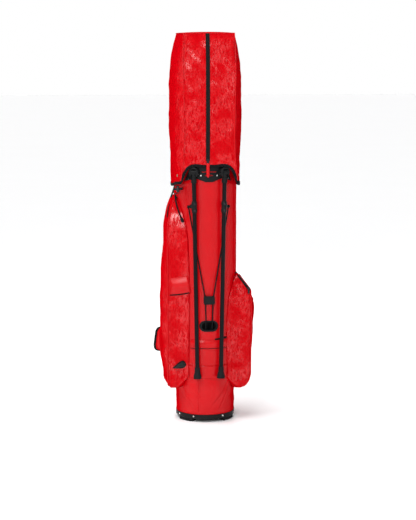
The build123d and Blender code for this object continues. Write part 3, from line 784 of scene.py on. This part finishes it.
def boot_point(turn, z):
    """A point on the boot: creased where the base folds it, slack in front of the push rods."""
    radius = float(boot_radius(z))
    middle = math.sin(math.pi * min(1, max(0, (z - 26) / 172))) ** 0.7
    place = tube_point(turn, z, radius)
    crease = math.sin((z - 30) / 15.5 + 1.6 * math.sin(math.radians(turn * 2 + 40)) + turn / 58)
    front = 0.5 + 0.5 * math.cos(math.radians(turn - 18))
    fold = 1.5 * crease * front * max(0, 1 - abs(z - 82) / 56)
    sag = ripple((place[0] * 0.9, place[1] * 0.9, z * 1.5), 42, 2.2, 2.2)
    around = (turn + 180) % 360 - 180
    for side, first, last, low, steep, depth in BOOT_FOLDS:
        along = side * around
        line = low + (along - first) * steep
        reach = max(0.0, 1 - abs((along - (first + last) / 2) / ((last - first) / 2 + 6)) ** 4)
        raised, sunk = math.exp(-((z - line - 13) / 9) ** 2), math.exp(-((z - line) / 5.5) ** 2)
        fold += depth * reach * (0.8 * raised - sunk)
    slack = 9.0 * math.exp(-(around / 36) ** 2) * math.exp(-((z - 96) / 44) ** 2)
    return tube_point(turn, z, radius + (fold + sag - 0.8) * middle + slack)


def make_boot():
    """The boot's leather and seams, from the body down to the hinged heel."""
    columns, rows = 220, 74
    heights = np.linspace(26.5, 197.5, rows)
    vertices = [boot_point(360 * column / columns, z) for z in heights for column in range(columns)]
    boot = add_object("boot_leather", vertices, grid_faces(rows, columns, True), [LEATHER, LINING])
    thicken(boot, 1.8, 1)
    turns = np.linspace(0, 360, 150, endpoint=False)
    outs = [tube_out(turn) for turn in turns]
    rings = [boot]
    for z, lift in ((154, 0.3), (28.5, 0.4)):
        ring = [boot_point(turn, z) + out * lift for turn, out in zip(turns, outs)]
        rings.append(sweep(f"boot_welt_{z}", ring, round_section(1.1, 8), outs, [LEATHER], closed_path=True))
    for z in (149.5, 33.5):
        rings.append(stitches(f"boot_row_{z}", [boot_point(turn, z) for turn in turns], outs, THREAD))
    heights = np.linspace(34, 149, 40)
    for turn in (-20.0, 160.0):
        rings.append(sweep(f"boot_side_{turn}", [boot_point(turn, z) for z in heights], round_section(1.1, 8),
                           [tube_out(turn)] * 40, [LEATHER]))
        rings.append(stitches(f"boot_side_row_{turn}", [boot_point(turn + 2.8, z) for z in heights],
                              [tube_out(turn + 2.8)] * 40, THREAD))
    boot = join("boot_leather_fold", rings)
    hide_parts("boot")
    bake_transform(boot)


make_boot()


# ---- pockets ---------------------------------------------------------------------------------------------
SEAT_R = 108.4            # where a pocket's front gusset meets the body
CLOSED_R = 105.5          # how far its closed ends are drawn in


class Pocket:
    """A sewn pocket: a front and a back gusset with a crowned panel between them."""

    def __init__(self, side, outline, corner, front_y, back_y, rise, root, seed):
        self.side = side
        self.low, self.top = outline[0][1], outline[-1][1]
        reaches, heights = zip(*outline)
        self.edge = smooth_curve(heights, reaches)
        self.corner, self.back_y = corner, back_y
        self.front_y = smooth_curve(*front_y)
        self.root = smooth_curve(*root)
        self.rise_from, self.rise = rise
        self.seed = seed

    def corners(self, z):
        """How far out the panel and its corner seam are at a height."""
        edge = float(self.edge(z))
        return edge, min(self.corner, edge - 1.5)

    def gusset(self, t, z, end):
        """A point of a gusset, t from the body to the corner seam, and its outward direction."""
        corner = self.corners(z)[1]
        if end == FRONT:
            root, tip_y = min(float(self.root(z)), corner - 3), float(self.front_y(z))
            root_y = -math.sqrt(SEAT_R ** 2 - root ** 2)
            full = self.corner + min(0.0, corner - self.corner) * min(1.0, (root - 66) / 20)
        else:
            root, root_y, tip_y, full = 62, 90, self.back_y, self.corner
        x = root + t * (corner - root)
        slope = (tip_y - root_y) / (full - root)
        y = root_y + (x - root) * slope
        out = np.array((-slope * end, end * 1.0, 0.0))
        out /= np.linalg.norm(out)
        bend = max(0.0, (self.rise_from - x) / (self.rise_from - 62))
        share = (z - self.low) / (self.top - self.low)
        height = z + self.rise * bend ** 1.3 * max(0.0, 1 - share * 1.4) ** 2
        dent = abs(ripple((x, y, height), 60, 3.4, self.seed)) * math.sin(math.pi * min(1, max(0, t)))
        return self.sided(np.array((x, y, height)) - out * dent, out)

    def panel(self, s, z):
        """A point of the outer panel, s from -1 at the front seam to 1 at the back seam."""
        edge, corner = self.corners(z)
        front = self.gusset(1, z, FRONT)[0]
        back = self.gusset(1, z, BACK)[0]
        middle, half = (front[1] + back[1]) / 2, (back[1] - front[1]) / 2
        x = corner + (edge - corner) * (1 - abs(s) ** 2.2)
        y = middle + half * s
        slope = -(edge - corner) * 2.2 * abs(s) ** 1.2 * np.sign(s) / half
        out = np.array((1.0, -slope, 0.0))
        out /= np.linalg.norm(out)
        fade = (1 - abs(s) ** 4) * min(1, (z - self.low) / 40, (self.top - z) / 40)
        dent = ripple((x, y, z), 75, 3.6, self.seed)
        dent += ripple((x, y * 0.6 + z * 0.5, z), 32, 1.6, self.seed + 4)
        return self.sided(np.array((x, y, z)) + out * ((dent - 1.0) * fade - 0.8 * abs(s) ** 8), out)

    def sided(self, point, out):
        """A point and direction worked out for the right, put on the pocket's own side."""
        point[0] *= self.side
        out[0] *= self.side
        return point, out


def make_pocket(name, pocket):
    """A pocket's gusset and panel, closed at both ends, with its piped and stitched seams."""
    gusset_columns, panel_columns, rows = 12, 46, 110
    places = [("gusset", t, FRONT) for t in np.linspace(0, 1, gusset_columns)]
    places += [("panel", s, 0) for s in np.linspace(-1, 1, panel_columns)[1:-1]]
    places += [("gusset", t, BACK) for t in np.linspace(1, 0, gusset_columns)]
    count = len(places)

    def outline(z):
        return [pocket.gusset(t, z, end)[0] if kind == "gusset" else pocket.panel(t, z)[0]
                for kind, t, end in places]

    def drawn_in(points, share, lift):
        """The outline drawn towards the body, for the pocket's closed ends."""
        moved = []
        for point in points:
            reach = math.hypot(point[0], point[1])
            radius = reach + (CLOSED_R - reach) * share
            moved.append(np.array((point[0] / reach * radius, point[1] / reach * radius, point[2] + lift)))
        return moved

    heights = np.linspace(pocket.low, pocket.top, rows)
    first, last = outline(heights[0]), outline(heights[-1])
    shares = (0.08, 0.25, 0.5, 0.75, 1)
    closed_low = [drawn_in(first, share, -1.5 * math.sin(share * math.pi)) for share in reversed(shares)]
    closed_top = [drawn_in(last, share, 2.0 * math.sin(share * math.pi)) for share in shares]
    grid = closed_low + [outline(z) for z in heights] + closed_top
    vertices = [point for row in grid for point in row]
    faces = grid_faces(len(grid), count, False)
    gusset_faces, panel_faces = [], []
    for face in faces:
        row, column = divmod(face[0], count)
        in_panel = gusset_columns - 1 <= column < count - gusset_columns
        in_rows = len(closed_low) <= row < len(closed_low) + rows - 1
        (panel_faces if in_panel and in_rows else gusset_faces).append(face)
    if pocket.side > 0:
        gusset_faces = [tuple(reversed(face)) for face in gusset_faces]
        panel_faces = [tuple(reversed(face)) for face in panel_faces]
    for label, chosen, node in (("gusset", gusset_faces, f"{name}_pocket"),
                                ("panel", panel_faces, f"{name}_pocket_panel")):
        used = sorted({i for face in chosen for i in face})
        index = {old: new for new, old in enumerate(used)}
        piece = add_object(f"{name}_{label}", [vertices[i] for i in used],
                           [tuple(index[i] for i in reversed(face)) for face in chosen], [CRINKLE, LINING])
        thicken(piece, 1.5, 1)
        finish_piece(piece, "bag", "crinkle_leather", node)

    seams = []
    inner = heights[1:-1]
    for end, label in ((FRONT, "front"), (BACK, "back")):
        line, out = zip(*[pocket.gusset(1, z, end) for z in inner])
        out = [o + np.array((pocket.side, 0, 0)) for o in out]
        seams.append(sweep(f"{name}_piping_{label}", line, round_section(1.7), out, [LEATHER]))
        seams.append(stitch_spots(f"{name}_panel_row_{label}", [pocket.panel(end * 0.93, z) for z in inner]))
        seams.append(stitch_spots(f"{name}_gusset_row_{label}", [pocket.gusset(0.9, z, end) for z in inner]))
    finish_leather(f"{name}_seams", seams)


APPAREL = Pocket(-1, ((129, 119), (141, 132), (148, 160), (153, 204), (159, 245), (159, 325), (157, 432),
                      (152, 558), (144, 623), (134, 692), (124, 734), (110, 767)), 137,
                 ((119, 620, 700, 768), (-72, -72, -66, -44)), 58, (112, 48),
                 ((119, 580, 640, 700, 740, 768), (66, 66, 69, 79, 91, 103)), 1.3)
BALL = Pocket(1, ((117, 113), (128, 118), (142, 132), (150, 154), (157, 199), (163, 257), (166, 325),
                  (166, 404), (160, 428), (150, 452), (129, 481), (108, 506)), 150,
              ((113, 445, 480, 507), (-66, -66, -61, -46)), 56, (112, 46),
              ((113, 390, 430, 470, 507), (66, 67, 72, 86, 102)), 6.1)
make_pocket("apparel", APPAREL)
make_pocket("ball", BALL)
zip_line("apparel_side_zip", (-118, 66.6, 160), (-118, 66.6, 700), (-32, 75, 0), "bag", "apparel_zip",
         width=10)


def ball_front(place):
    """A point of the ball pocket's zip laid on its front gusset."""
    corner = BALL.corners(place[2])[1]
    root = min(float(BALL.root(place[2])), corner - 3)
    point, out = BALL.gusset((place[0] - root) / (corner - root), place[2], FRONT)
    return point + out * 0.5


zip_line("ball_top_zip", (146.0, -68.4, 448.5), (108.5, -78.0, 502), (0.23, -1, 0), "bag", "ball_zip",
         width=10, follow=ball_front)


def front_gusset_y(x):
    """The plane that the apparel pocket's front gusset lies in."""
    return -86 + (abs(x) - 66) * 0.197


def make_umbrella_band():
    """The band that holds an umbrella against the apparel pocket, with a black strip of painted shadow along
    its lower edge.
    """
    inner, outer = 64, 138
    line = []
    for x in np.linspace(-inner, -outer, 14):
        bow = 1.6 * math.sin((abs(x) - inner) / (outer - inner) * math.pi)
        line.append((x, front_gusset_y(x) - 1.2 - bow, 468.5 + 9 * ((outer - abs(x)) / (outer - inner)) ** 2))
    out = [(-0.2, -1, 0)] * len(line)
    parts = [sweep("band", line, band_section(1.5, 58), out, [LEATHER])]
    for height in (-26, 26):
        row = [(x, y - 1.5, z + height) for x, y, z in line]
        parts.append(stitches(f"band_row_{height}", row, out, THREAD))
    # painted shadow: a thin black strip along the band's lower edge stands for the shadow under it
    painted_shadow_line = [(x, y - 0.3, z - 28.2) for x, y, z in line]
    parts.append(sweep("band_painted_shadow", painted_shadow_line, band_section(2.0, 4.5), out, [WEBBING]))
    finish_leather("umbrella_band_leather", parts, "umbrella_band")


def make_umbrella_socket():
    """A leaf-shaped ribbed socket with a dark rim, for an umbrella's tip."""
    low = smooth_curve((0, 0.5, 0.8, 0.95, 1), (187, 186.5, 189, 195, 200.5))
    high = smooth_curve((0, 0.15, 0.4, 0.65, 0.85, 0.96, 1), (188, 195, 206, 213.5, 212.5, 206.5, 201.5))
    vertices = []
    across, along = 45, 46
    for i in range(along):
        s = i / (along - 1)
        x = -121 + 46 * s
        for j in range(across):
            t = j / (across - 1)
            bottom, top = float(low(s)), float(high(s))
            full = 9.0 * math.sin(math.pi * min(1, s * 0.62 + 0.3)) * min(1, s * 6) * min(1, (1 - s) * 7)
            bowl = min(1.0, t * 2.6) ** 0.7 * min(1.0, (1 - t) * 9) ** 0.5
            rib = 1.5 * math.cos(2 * math.pi * (t * (top - bottom)) / 5.2) * min(1, t * 8, (1 - t) * 8)
            y = front_gusset_y(x) - 0.5 - full * bowl - rib * min(1, s * 5, (1 - s) * 5)
            vertices.append((x, y, bottom + (top - bottom) * t))
    faces = grid_faces(along, across, False)
    rim = [int(not 3 < face[0] % across < across - 9 or face[0] // across > along - 6) for face in faces]
    leaf = add_object("umbrella_socket_leaf", vertices, faces, [SOCKET, TUBE], indices=rim)
    finish_piece(leaf, "bag", "black_plastic", "umbrella_cup")


def make_ball_seam():
    """The raised seam across the ball pocket's panel."""
    points, outs = zip(*[BALL.panel(s, 412) for s in np.linspace(-1, 1, 40)])
    raised = [point + out * 0.3 for point, out in zip(points, outs)]
    step = sweep("ball_step", raised, band_section(1.6, 5), outs, [LEATHER])
    row = stitches("ball_step_row", [point - np.array((0, 0, 5)) for point in raised], outs, THREAD)
    finish_leather("ball_cross_seam", [step, row])


def make_side_tab():
    """A small webbing tab on the apparel pocket's panel."""
    line = []
    for z in np.linspace(698, 742, 12):
        bow = np.array((-0.6 - 1.2 * math.sin((z - 700) / 45 * math.pi), 0, 0))
        line.append(APPAREL.panel(-0.3, z)[0] + bow)
    tab = sweep("side_webbing_tab", line, band_section(1.5, 9), [(-1, -0.1, 0)] * len(line), [WEBBING])
    finish_piece(tab, "bag", "black_webbing")


make_umbrella_band()
make_umbrella_socket()
make_ball_seam()
make_side_tab()


# ---- straps and handles ------------------------------------------------------------------------------------
def make_leg_strap():
    """The leather strap behind the legs, with a black strip of painted shadow along its lower edge, and the
    webbing tab above it.
    """
    thick = 1.7
    turns = np.linspace(-34, 36, 60)
    line = [tube_point(turn, 273, TUBE_R + 0.4) for turn in turns]
    outs = [tube_out(turn) for turn in turns]
    parts = [sweep("strap_band", line, band_section(thick, 29), outs, [LEATHER])]
    for height in (-11.5, 11.5):
        row = [point + out * thick + (0, 0, height) for point, out in zip(line, outs)]
        parts.append(stitches(f"strap_row_{height}", row, outs, THREAD))
    # painted shadow: a thin black strip along the strap's lower edge stands for the shadow under it
    painted_shadow_line = [point + (0, 0, -14.2) for point in line]
    parts.append(sweep("strap_painted_shadow", painted_shadow_line, band_section(2.1, 2.2), outs, [WEBBING]))
    finish_leather("leg_strap_leather", parts, "leg_strap")
    first = 11
    turns = np.linspace(first, 36.5, 24)
    line = [tube_point(turn, 289.5 + (turn - first) * 0.17, TUBE_R + 0.5 + 0.8 * math.sin((turn - first) / 8))
            for turn in turns]
    tab = sweep("strap_tab", line, band_section(1.6, 5.5), [tube_out(turn) for turn in turns], [WEBBING])
    finish_piece(tab, "bag", "black_webbing", "leg_strap_tab")


def make_lift_handle():
    """The grab loop on the back: folded leather with bound edges and two rows of stitches."""
    across, width, thick = np.array((-1.0, 0, 0)), 28, 3.2
    line = smooth_path(((0, 109, 672), (0, 116, 674), (0, 123, 682), (0, 126, 702), (0, 126.5, 724),
                        (0, 126, 746), (0, 123, 766), (0, 116, 774), (0, 109, 776)), 60)
    outs = [np.cross(across, along) / np.linalg.norm(along) for along in tangents(line)]
    parts = [sweep("lift_handle_band", line, band_section(thick, width - 3, 0.9), outs, [LEATHER])]
    for side in (-1, 1):
        edge = [p + across * side * (width / 2 - 1.6) + o * thick * 0.5 for p, o in zip(line, outs)]
        parts.append(sweep("lift_handle_edge", edge, round_section(thick * 0.62, 8), outs, [WEBBING]))
        row = [p + across * side * (width / 2 - 5.5) + o * thick for p, o in zip(line, outs)]
        parts.append(stitches("lift_handle_row", row[3:-3], outs[3:-3], THREAD))
    finish_leather("lift_handle_leather", parts, "lift_handle")


def make_side_handle():
    """The grab handle on the apparel pocket: a leather loop turned outwards, with a thick bound edge."""
    across, thick = np.array((-0.6, 0.8, 0)), 3.0
    path = smooth_path(((-145, 237), (-154, 238), (-160.5, 242), (-162.5, 252), (-161, 269), (-158.5, 288),
                        (-156, 301), (-151, 308), (-145, 309)), 60)
    line = [np.array((x, 2.0, z)) for x, z in path]
    outs = [np.cross(along, across) / np.linalg.norm(along) for along in tangents(line)]
    outs = [out if out[0] < 0 or abs(out[0]) < 0.3 else -out for out in outs]
    parts = [sweep("handle_band", line, band_section(thick, 27, 0.9), outs, [LEATHER])]
    far = [p + across * 13.8 + o * thick / 2 for p, o in zip(line, outs)]
    near = [p - across * 13.6 + o * thick / 2 for p, o in zip(line, outs)]
    parts.append(sweep("handle_far_edge", far, round_section(5.8, 12), outs, [WEBBING]))
    parts.append(sweep("handle_near_edge", near, round_section(1.9, 8), outs, [LEATHER]))
    for offset in (-9, 8.5):
        row = [p + across * offset + o * thick for p, o in zip(line, outs)]
        parts.append(stitches("handle_row", row[3:-3], outs[3:-3], THREAD))
    finish_leather("side_handle_leather", parts, "side_handle")


make_leg_strap()
make_side_handle()
make_lift_handle()


# ---- leg brackets and the pulls beside the ring -------------------------------------------------------
def loft(name, stations, materials, power=0.5, sides=20):
    """A solid through rounded sections, each a centre, two directions and two half sizes."""
    vertices = []
    for centre, u, v, half_u, half_v in stations:
        for i in range(sides):
            angle = 2 * math.pi * (i + 0.5) / sides
            c, d = math.cos(angle), math.sin(angle)
            vertices.append(np.array(centre, float) + np.array(u, float) * half_u * squared(c, power)
                            + np.array(v, float) * half_v * squared(d, power))
    faces = grid_faces(len(stations), sides, True)
    faces += [tuple(range(sides - 1, -1, -1)), tuple((len(stations) - 1) * sides + i for i in range(sides))]
    return add_object(name, vertices, faces, materials)


def make_leg_bracket(side, label):
    """The moulded clamp on a leg, with two pin heads and an arm to the rod's pivot."""
    axis = Vector((side * 12, 0, 700)).normalized()
    leg = Vector((side * 50.0, -116, 742))
    profile = ((20, 7.4), (19, 8.2), (15, 9.0), (11, 9.5), (6, 8.8), (0, 8.5), (-6, 8.8), (-11, 9.5),
               (-15, 9.0), (-19, 8.2), (-20, 7.4))
    stations = [(leg + axis * height, (side, 0, 0), (0, 1, 0), radius, radius) for height, radius in profile]
    parts = [loft("clamp", stations, [PLASTIC], 0.8, 28)]
    out, forward = Vector((side * 0.912, 0.41, 0)), (side * 0.41, -0.912, 0)
    ear = Vector((side * 68, -96, 742))
    arm = []
    for reach, rise, tall, thick in ((-22, 6.0, 11.0, 5.5), (-17, 4.8, 9.8, 4.6), (-12, 2.6, 7.6, 3.8),
                                     (-7, 0.8, 5.4, 3.4), (-3.2, -0.2, 4.2, 3.0), (-2.9, -0.2, 3.4, 2.4)):
        share = max(0.0, (-reach - 3) / 19)
        centre = ear + out * reach + Vector(forward) * 8.5 * share + Vector((0, 0, rise))
        arm.append((centre, (0, 0, 1), forward, tall, thick))
    parts.append(loft("arm", arm, [PLASTIC], 0.6))
    stations = [(ear + out * reach, forward, (0, 0, 1), radius, radius) for reach, radius in
                ((-4, 2.1), (2.7, 2.1), (2.75, 3.0), (3.3, 2.9), (3.6, 2.0))]
    parts.append(loft("pivot", stations, [GUNMETAL], 1.0, 16))
    for height in (11, -11):
        centre = leg + axis * height
        parts.append(loft("head", [(centre + Vector((0, -reach, 0)), (side, 0, 0), (0, 0, 1), radius, radius)
                                   for reach, radius in ((8.6, 3.5), (9.9, 3.5), (10.5, 3.0), (10.6, 1.6),
                                                         (10.2, 1.2))], [GUNMETAL], 1.0, 16))
    finish_piece(join(f"leg_bracket_clamp_{label}", parts), f"{label}_leg", "black_plastic",
                 f"leg_bracket_{label}", f"bracket_pins_{label}")


for leg_side, leg_label in SIDES:
    make_leg_bracket(leg_side, leg_label)


def make_pulls():
    """Zip pulls gathered at the pocket's top corner, beside the ring."""
    flat = ((1, 0, 0), (0, 1, 0))
    body = [((-101.5, -81, z), *flat, half, deep) for z, half, deep in
            ((790, 3.0, 2.0), (791, 4.6, 3.0), (796, 5.4, 3.4), (803, 5.0, 3.2), (811, 3.6, 2.6),
             (812, 2.6, 1.8))]
    short = [((x, y, z), *flat, half, deep) for x, y, z, half, deep in
             ((-114, -82.5, 810, 1.6, 1.4), (-115.5, -83.5, 803, 2.6, 1.8), (-119, -85, 792, 2.8, 2.0),
              (-122.5, -85.5, 783, 3.0, 2.2), (-125.5, -85.5, 774, 2.8, 2.2), (-126, -85.5, 772, 1.8, 1.4))]
    ring = [(-110 + 6.5 * math.cos(t), -82.5, 804 + 6.0 * math.sin(t))
            for t in np.linspace(0, 2 * math.pi, 20, endpoint=False)]
    hook = sweep("hook", ring, round_section(1.5, 8), [(0, -1, 0)] * len(ring), [GUNMETAL], closed_path=True)
    parts = [loft("slider", body, [GUNMETAL], 0.7), loft("short_pull", short, [PLASTIC], 0.8), hook]
    finish_piece(join("zip_pull_cluster", parts), "bag", "black_plastic")


make_pulls()


# ---- padded pieces -----------------------------------------------------------------------------------------
PUFF_FRAMES = 14


def puff(obj, pressure, cap, voxel):
    """Swell a pad with a short cloth simulation, each point moving no more than the cap."""
    copy = obj.modifiers.new("remesh", "REMESH")
    copy.mode = "VOXEL"
    copy.voxel_size = voxel * MM
    apply_modifiers(obj)
    start = np.array([v.co for v in obj.data.vertices])
    cloth = obj.modifiers.new("cloth", "CLOTH")
    cloth.settings.use_pressure = True
    cloth.settings.uniform_pressure_force = pressure
    cloth.settings.effector_weights.gravity = 0
    cloth.settings.tension_stiffness = 40
    cloth.settings.compression_stiffness = 20
    cloth.settings.bending_stiffness = 0.6
    for step in range(1, PUFF_FRAMES + 1):
        bpy.context.scene.frame_set(step)
    graph = bpy.context.evaluated_depsgraph_get()
    moved = np.array([v.co for v in obj.evaluated_get(graph).data.vertices])
    obj.modifiers.clear()
    bpy.context.scene.frame_set(1)
    shift = moved - start
    reach = np.linalg.norm(shift, axis=1, keepdims=True)
    limit = np.minimum(1, cap * MM / np.maximum(reach, 1e-9))
    obj.data.vertices.foreach_set("co", (start + shift * limit).ravel())
    obj.data.update()
    obj.modifiers.new("smooth", "SUBSURF").levels = 1
    apply_modifiers(obj)
    obj.data.polygons.foreach_set("use_smooth", [True] * len(obj.data.polygons))


def press(obj, change):
    """Move every point of a finished pad: sewn channels, and the side that rests on the bag."""
    for vertex in obj.data.vertices:
        vertex.co = Vector(MM * c for c in change(np.array(vertex.co) / MM))
    obj.data.update()


def make_back_pad():
    """The mesh pad on the back, sewn in channels, with a bound edge."""
    middle = 496
    turns, heights = np.linspace(154, 206, 30), np.linspace(355, 637, 60)
    vertices = []
    for face in (0, 1):
        for z in heights:
            for turn in turns:
                u, v = (turn - 180) / 26, (z - middle) / 141
                round_off = max(0.0, 1 - abs(u) ** 6) ** 0.5 * max(0.0, 1 - abs(v) ** 10) ** 0.5
                pull = 1 - 0.05 * (abs(u) * abs(v)) ** 4
                radius = 110.5 + (6.5 * round_off if face else 0.0)
                vertices.append(tube_point(180 + (turn - 180) * pull, middle + (z - middle) * pull, radius))
    size, columns = len(turns) * len(heights), len(turns)
    faces = grid_faces(len(heights), columns, False)
    faces = [tuple(reversed(face)) for face in faces] + [tuple(size + i for i in face) for face in faces]
    rim = list(range(columns)) + [r * columns + columns - 1 for r in range(1, len(heights))]
    rim += [size - 1 - i for i in range(1, columns)] + [r * columns for r in range(len(heights) - 2, 0, -1)]
    for i, start in enumerate(rim):
        stop = rim[(i + 1) % len(rim)]
        faces.append((start, stop, size + stop, size + start))
    pad = add_object("back_pad_mesh", vertices, faces, [MESH])
    puff(pad, 3.0, 5.0, 4.5)

    def sewn(point):
        """The pad pulled in along its channels and spine."""
        radius, z = math.hypot(point[0], point[1]), point[2]
        channel = sum(math.exp(-((z - line) / 4.5) ** 2) for line in (420, 470, 522, 572))
        spine = math.exp(-(point[0] / 4.5) ** 2) * (1 if 420 < z < 572 else 0)
        out = min(1, max(0, (radius - 110) / 5))
        wanted = min(123.4, max(107.6, radius - 4.2 * min(1, channel + spine) * out))
        return (point[0] * wanted / radius, point[1] * wanted / radius, z)

    press(pad, sewn)
    finish_piece(pad, "bag", "pad_fabric", "back_pad")
    edge = []
    outs = []
    for t in np.linspace(0, 2 * math.pi, 120, endpoint=False):
        square = max(abs(math.cos(t)), abs(math.sin(t))) ** 0.82
        turn = 180 + 26.6 * math.cos(t) / square
        edge.append(tube_point(turn, middle + 143 * math.sin(t) / square, 110.5))
        outs.append(tube_out(turn))
    binding = sweep("back_pad_binding", edge, round_section(2.2, 8), outs, [WEBBING], closed_path=True)
    finish_piece(binding, "bag", "black_webbing")


make_back_pad()


STRAP_X = 46.0            # how far each shoulder strap is from the middle


def make_strap(side, label):
    """A padded shoulder strap: a foam slab in mesh with a bound edge and a leather top."""
    inner = smooth_curve((400, 440, 560, 700, 770, 790), (130, 138, 142, 136, 122, 112))
    heights = np.linspace(402, 787, 70)
    section = [(math.cos(t), math.sin(t)) for t in np.linspace(0, 2 * math.pi, 28, endpoint=False)]
    line = [np.array((side * STRAP_X, float(inner(z)) + 6.5, z)) for z in heights]
    vertices = []
    for i, (point, along) in enumerate(zip(line, tangents(line))):
        along /= np.linalg.norm(along)
        out = np.cross(along, (-1, 0, 0))
        out *= np.sign(out[1])
        ends = min(1, (i + 1.5) / 5, (71 - i) / 5) ** 0.5
        for c, s in section:
            wide = squared(c, 0.55) * 23.5 * (0.85 + 0.15 * ends)
            thick = squared(s, 0.8) * 3.4 * ends
            vertices.append(point + np.array((wide, 0, 0)) + out * thick)
    count = len(section)
    faces = grid_faces(len(line), count, True)
    faces += [tuple(range(count - 1, -1, -1)), tuple(len(vertices) - count + i for i in range(count))]
    strap = add_object(f"shoulder_strap_pad_{label}", vertices, faces, [MESH])
    puff(strap, 3.0, 4.0, 4.5)

    def sewn(point):
        """The strap pulled in along its channels and edges, and held to its size."""
        x, y, z = point
        centre = float(inner(min(790, max(400, z)))) + 6.5
        across = x - side * STRAP_X
        channel = sum(math.exp(-((z - line_z) / 4.0) ** 2) for line_z in (470, 530, 590, 650, 710))
        groove = max(math.exp(-((abs(across) - 20) / 2.6) ** 2) * 0.8, min(1, channel) * (abs(across) < 19))
        depth = (y - centre) * (1 - 0.42 * groove)
        return (side * STRAP_X + max(-26.6, min(26.6, across)), centre + max(-6.2, min(6.2, depth)), z)

    press(strap, sewn)
    finish_piece(strap, "bag", "pad_fabric", f"shoulder_strap_{label}")
    for edge_side, edge_label in ((-1, "inner"), (1, "outer")):
        edge = [p + np.array((edge_side * 25.4, 0, 0)) for p in line]
        binding = sweep(f"strap_binding_{label}_{edge_label}", edge, band_section(2.2, 9, 0.8),
                        [(edge_side, 0, 0)] * len(edge), [WEBBING])
        finish_piece(binding, "bag", "black_webbing")


for strap_side, strap_label in SIDES:
    make_strap(strap_side, strap_label)


BUCKLE_CORNERS = ((-1, -1), (-0.5, -1.08), (0, -1.1), (0.5, -1.08), (1, -1), (1.08, 0), (1, 1), (0.5, 1.08),
                  (0, 1.1), (-0.5, 1.08), (-1, 1), (-1.08, 0))


def make_webbing():
    """The webbing below each shoulder strap, with its buckle."""
    parts = []
    for side in (-1, 1):
        x = side * STRAP_X
        path = smooth_path(((x, 134, 404), (x, 135.2, 392), (x, 134.4, 376), (x, 129, 360), (x, 121, 340),
                            (x, 112.5, 322), (x, 109.5, 314)), 40)
        tilted = [(0, 1, -0.6)] * len(path)
        parts.append(sweep(f"tape_{side}", path, band_section(1.8, 25), tilted, [WEBBING]))
        ring = [(x + 15.5 * u, 138.5, 384 + 9 * v) for u, v in BUCKLE_CORNERS]
        back = [(0, 1, 0)] * len(ring)
        parts.append(sweep(f"buckle_{side}", ring, round_section(2.6), back, [PLASTIC], closed_path=True))
        for height in (380.5, 387.5):
            bar = [(x + u, 139.2, height) for u in np.linspace(-15, 15, 6)]
            parts.append(sweep(f"bar_{side}", bar, round_section(1.9, 8), back[:len(bar)], [PLASTIC]))
    finish_piece(join("strap_webbing_tape", parts), "bag", "black_webbing", "strap_webbing")


make_webbing()


# ---- floor and light ---------------------------------------------------------------------------------------
FLOOR_HALF = 40000


def make_stage():
    """A white floor and studio: an even dome, a soft sun and four soft boxes."""
    floor_material = Material("pale_floor", (0.95, 0.95, 0.955), 0.55)
    floor_material.vary_colour(floor_material.noise(1.3, 3), 0.985, 1.01)
    corners = [(FLOOR_HALF * x, FLOOR_HALF * y, 0) for x, y in ((-1, -1), (1, -1), (1, 1), (-1, 1))]
    floor = add_object("floor", corners, [(0, 1, 2, 3)], [floor_material.material])
    world = bpy.data.worlds.new("studio")
    bpy.context.scene.world = world
    world.use_nodes = True
    nodes, links = world.node_tree.nodes, world.node_tree.links
    height = nodes.new("ShaderNodeSeparateXYZ")
    links.new(nodes.new("ShaderNodeTexCoord").outputs["Generated"], height.inputs["Vector"])
    dome = nodes.new("ShaderNodeMapRange")
    set_range(dome, 0.05, 0.2, 1.0, 0.2)
    links.new(height.outputs["Z"], dome.inputs["Value"])
    links.new(dome.outputs["Result"], nodes["Background"].inputs["Strength"])
    nodes["Background"].inputs["Color"].default_value = (1, 1, 1, 1)
    sky = bpy.data.lights.new("overhead", "SUN")
    sky.energy = 3.2
    sky.angle = math.radians(50)
    overhead = new_object("overhead", sky)
    overhead.rotation_euler = (math.radians(8), math.radians(-20), 0)
    for name, place, target, size, power in (
            ("key", (-1.0, -3.1, 1.9), (0, 0, 0.85), (0.32, 1.6), 44),
            ("front", (0.38, -3.6, 1.95), (0, 0, 1.0), (0.25, 0.9), 10),
            ("fill", (1.25, -3.3, 1.7), (0, 0, 0.85), (0.22, 1.5), 5),
            ("rim", (0.8, 3.2, 2.2), (0, 0, 0.8), (1.0, 1.6), 34)):
        data = bpy.data.lights.new(name, "AREA")
        data.shape = "RECTANGLE"
        data.size, data.size_y = size
        data.energy = power
        light = new_object(name, data)
        light.location = place
        light.rotation_euler = (Vector(target) - Vector(place)).to_track_quat("-Z", "Y").to_euler()
    bpy.context.scene.view_settings.view_transform = "Standard"


make_stage()
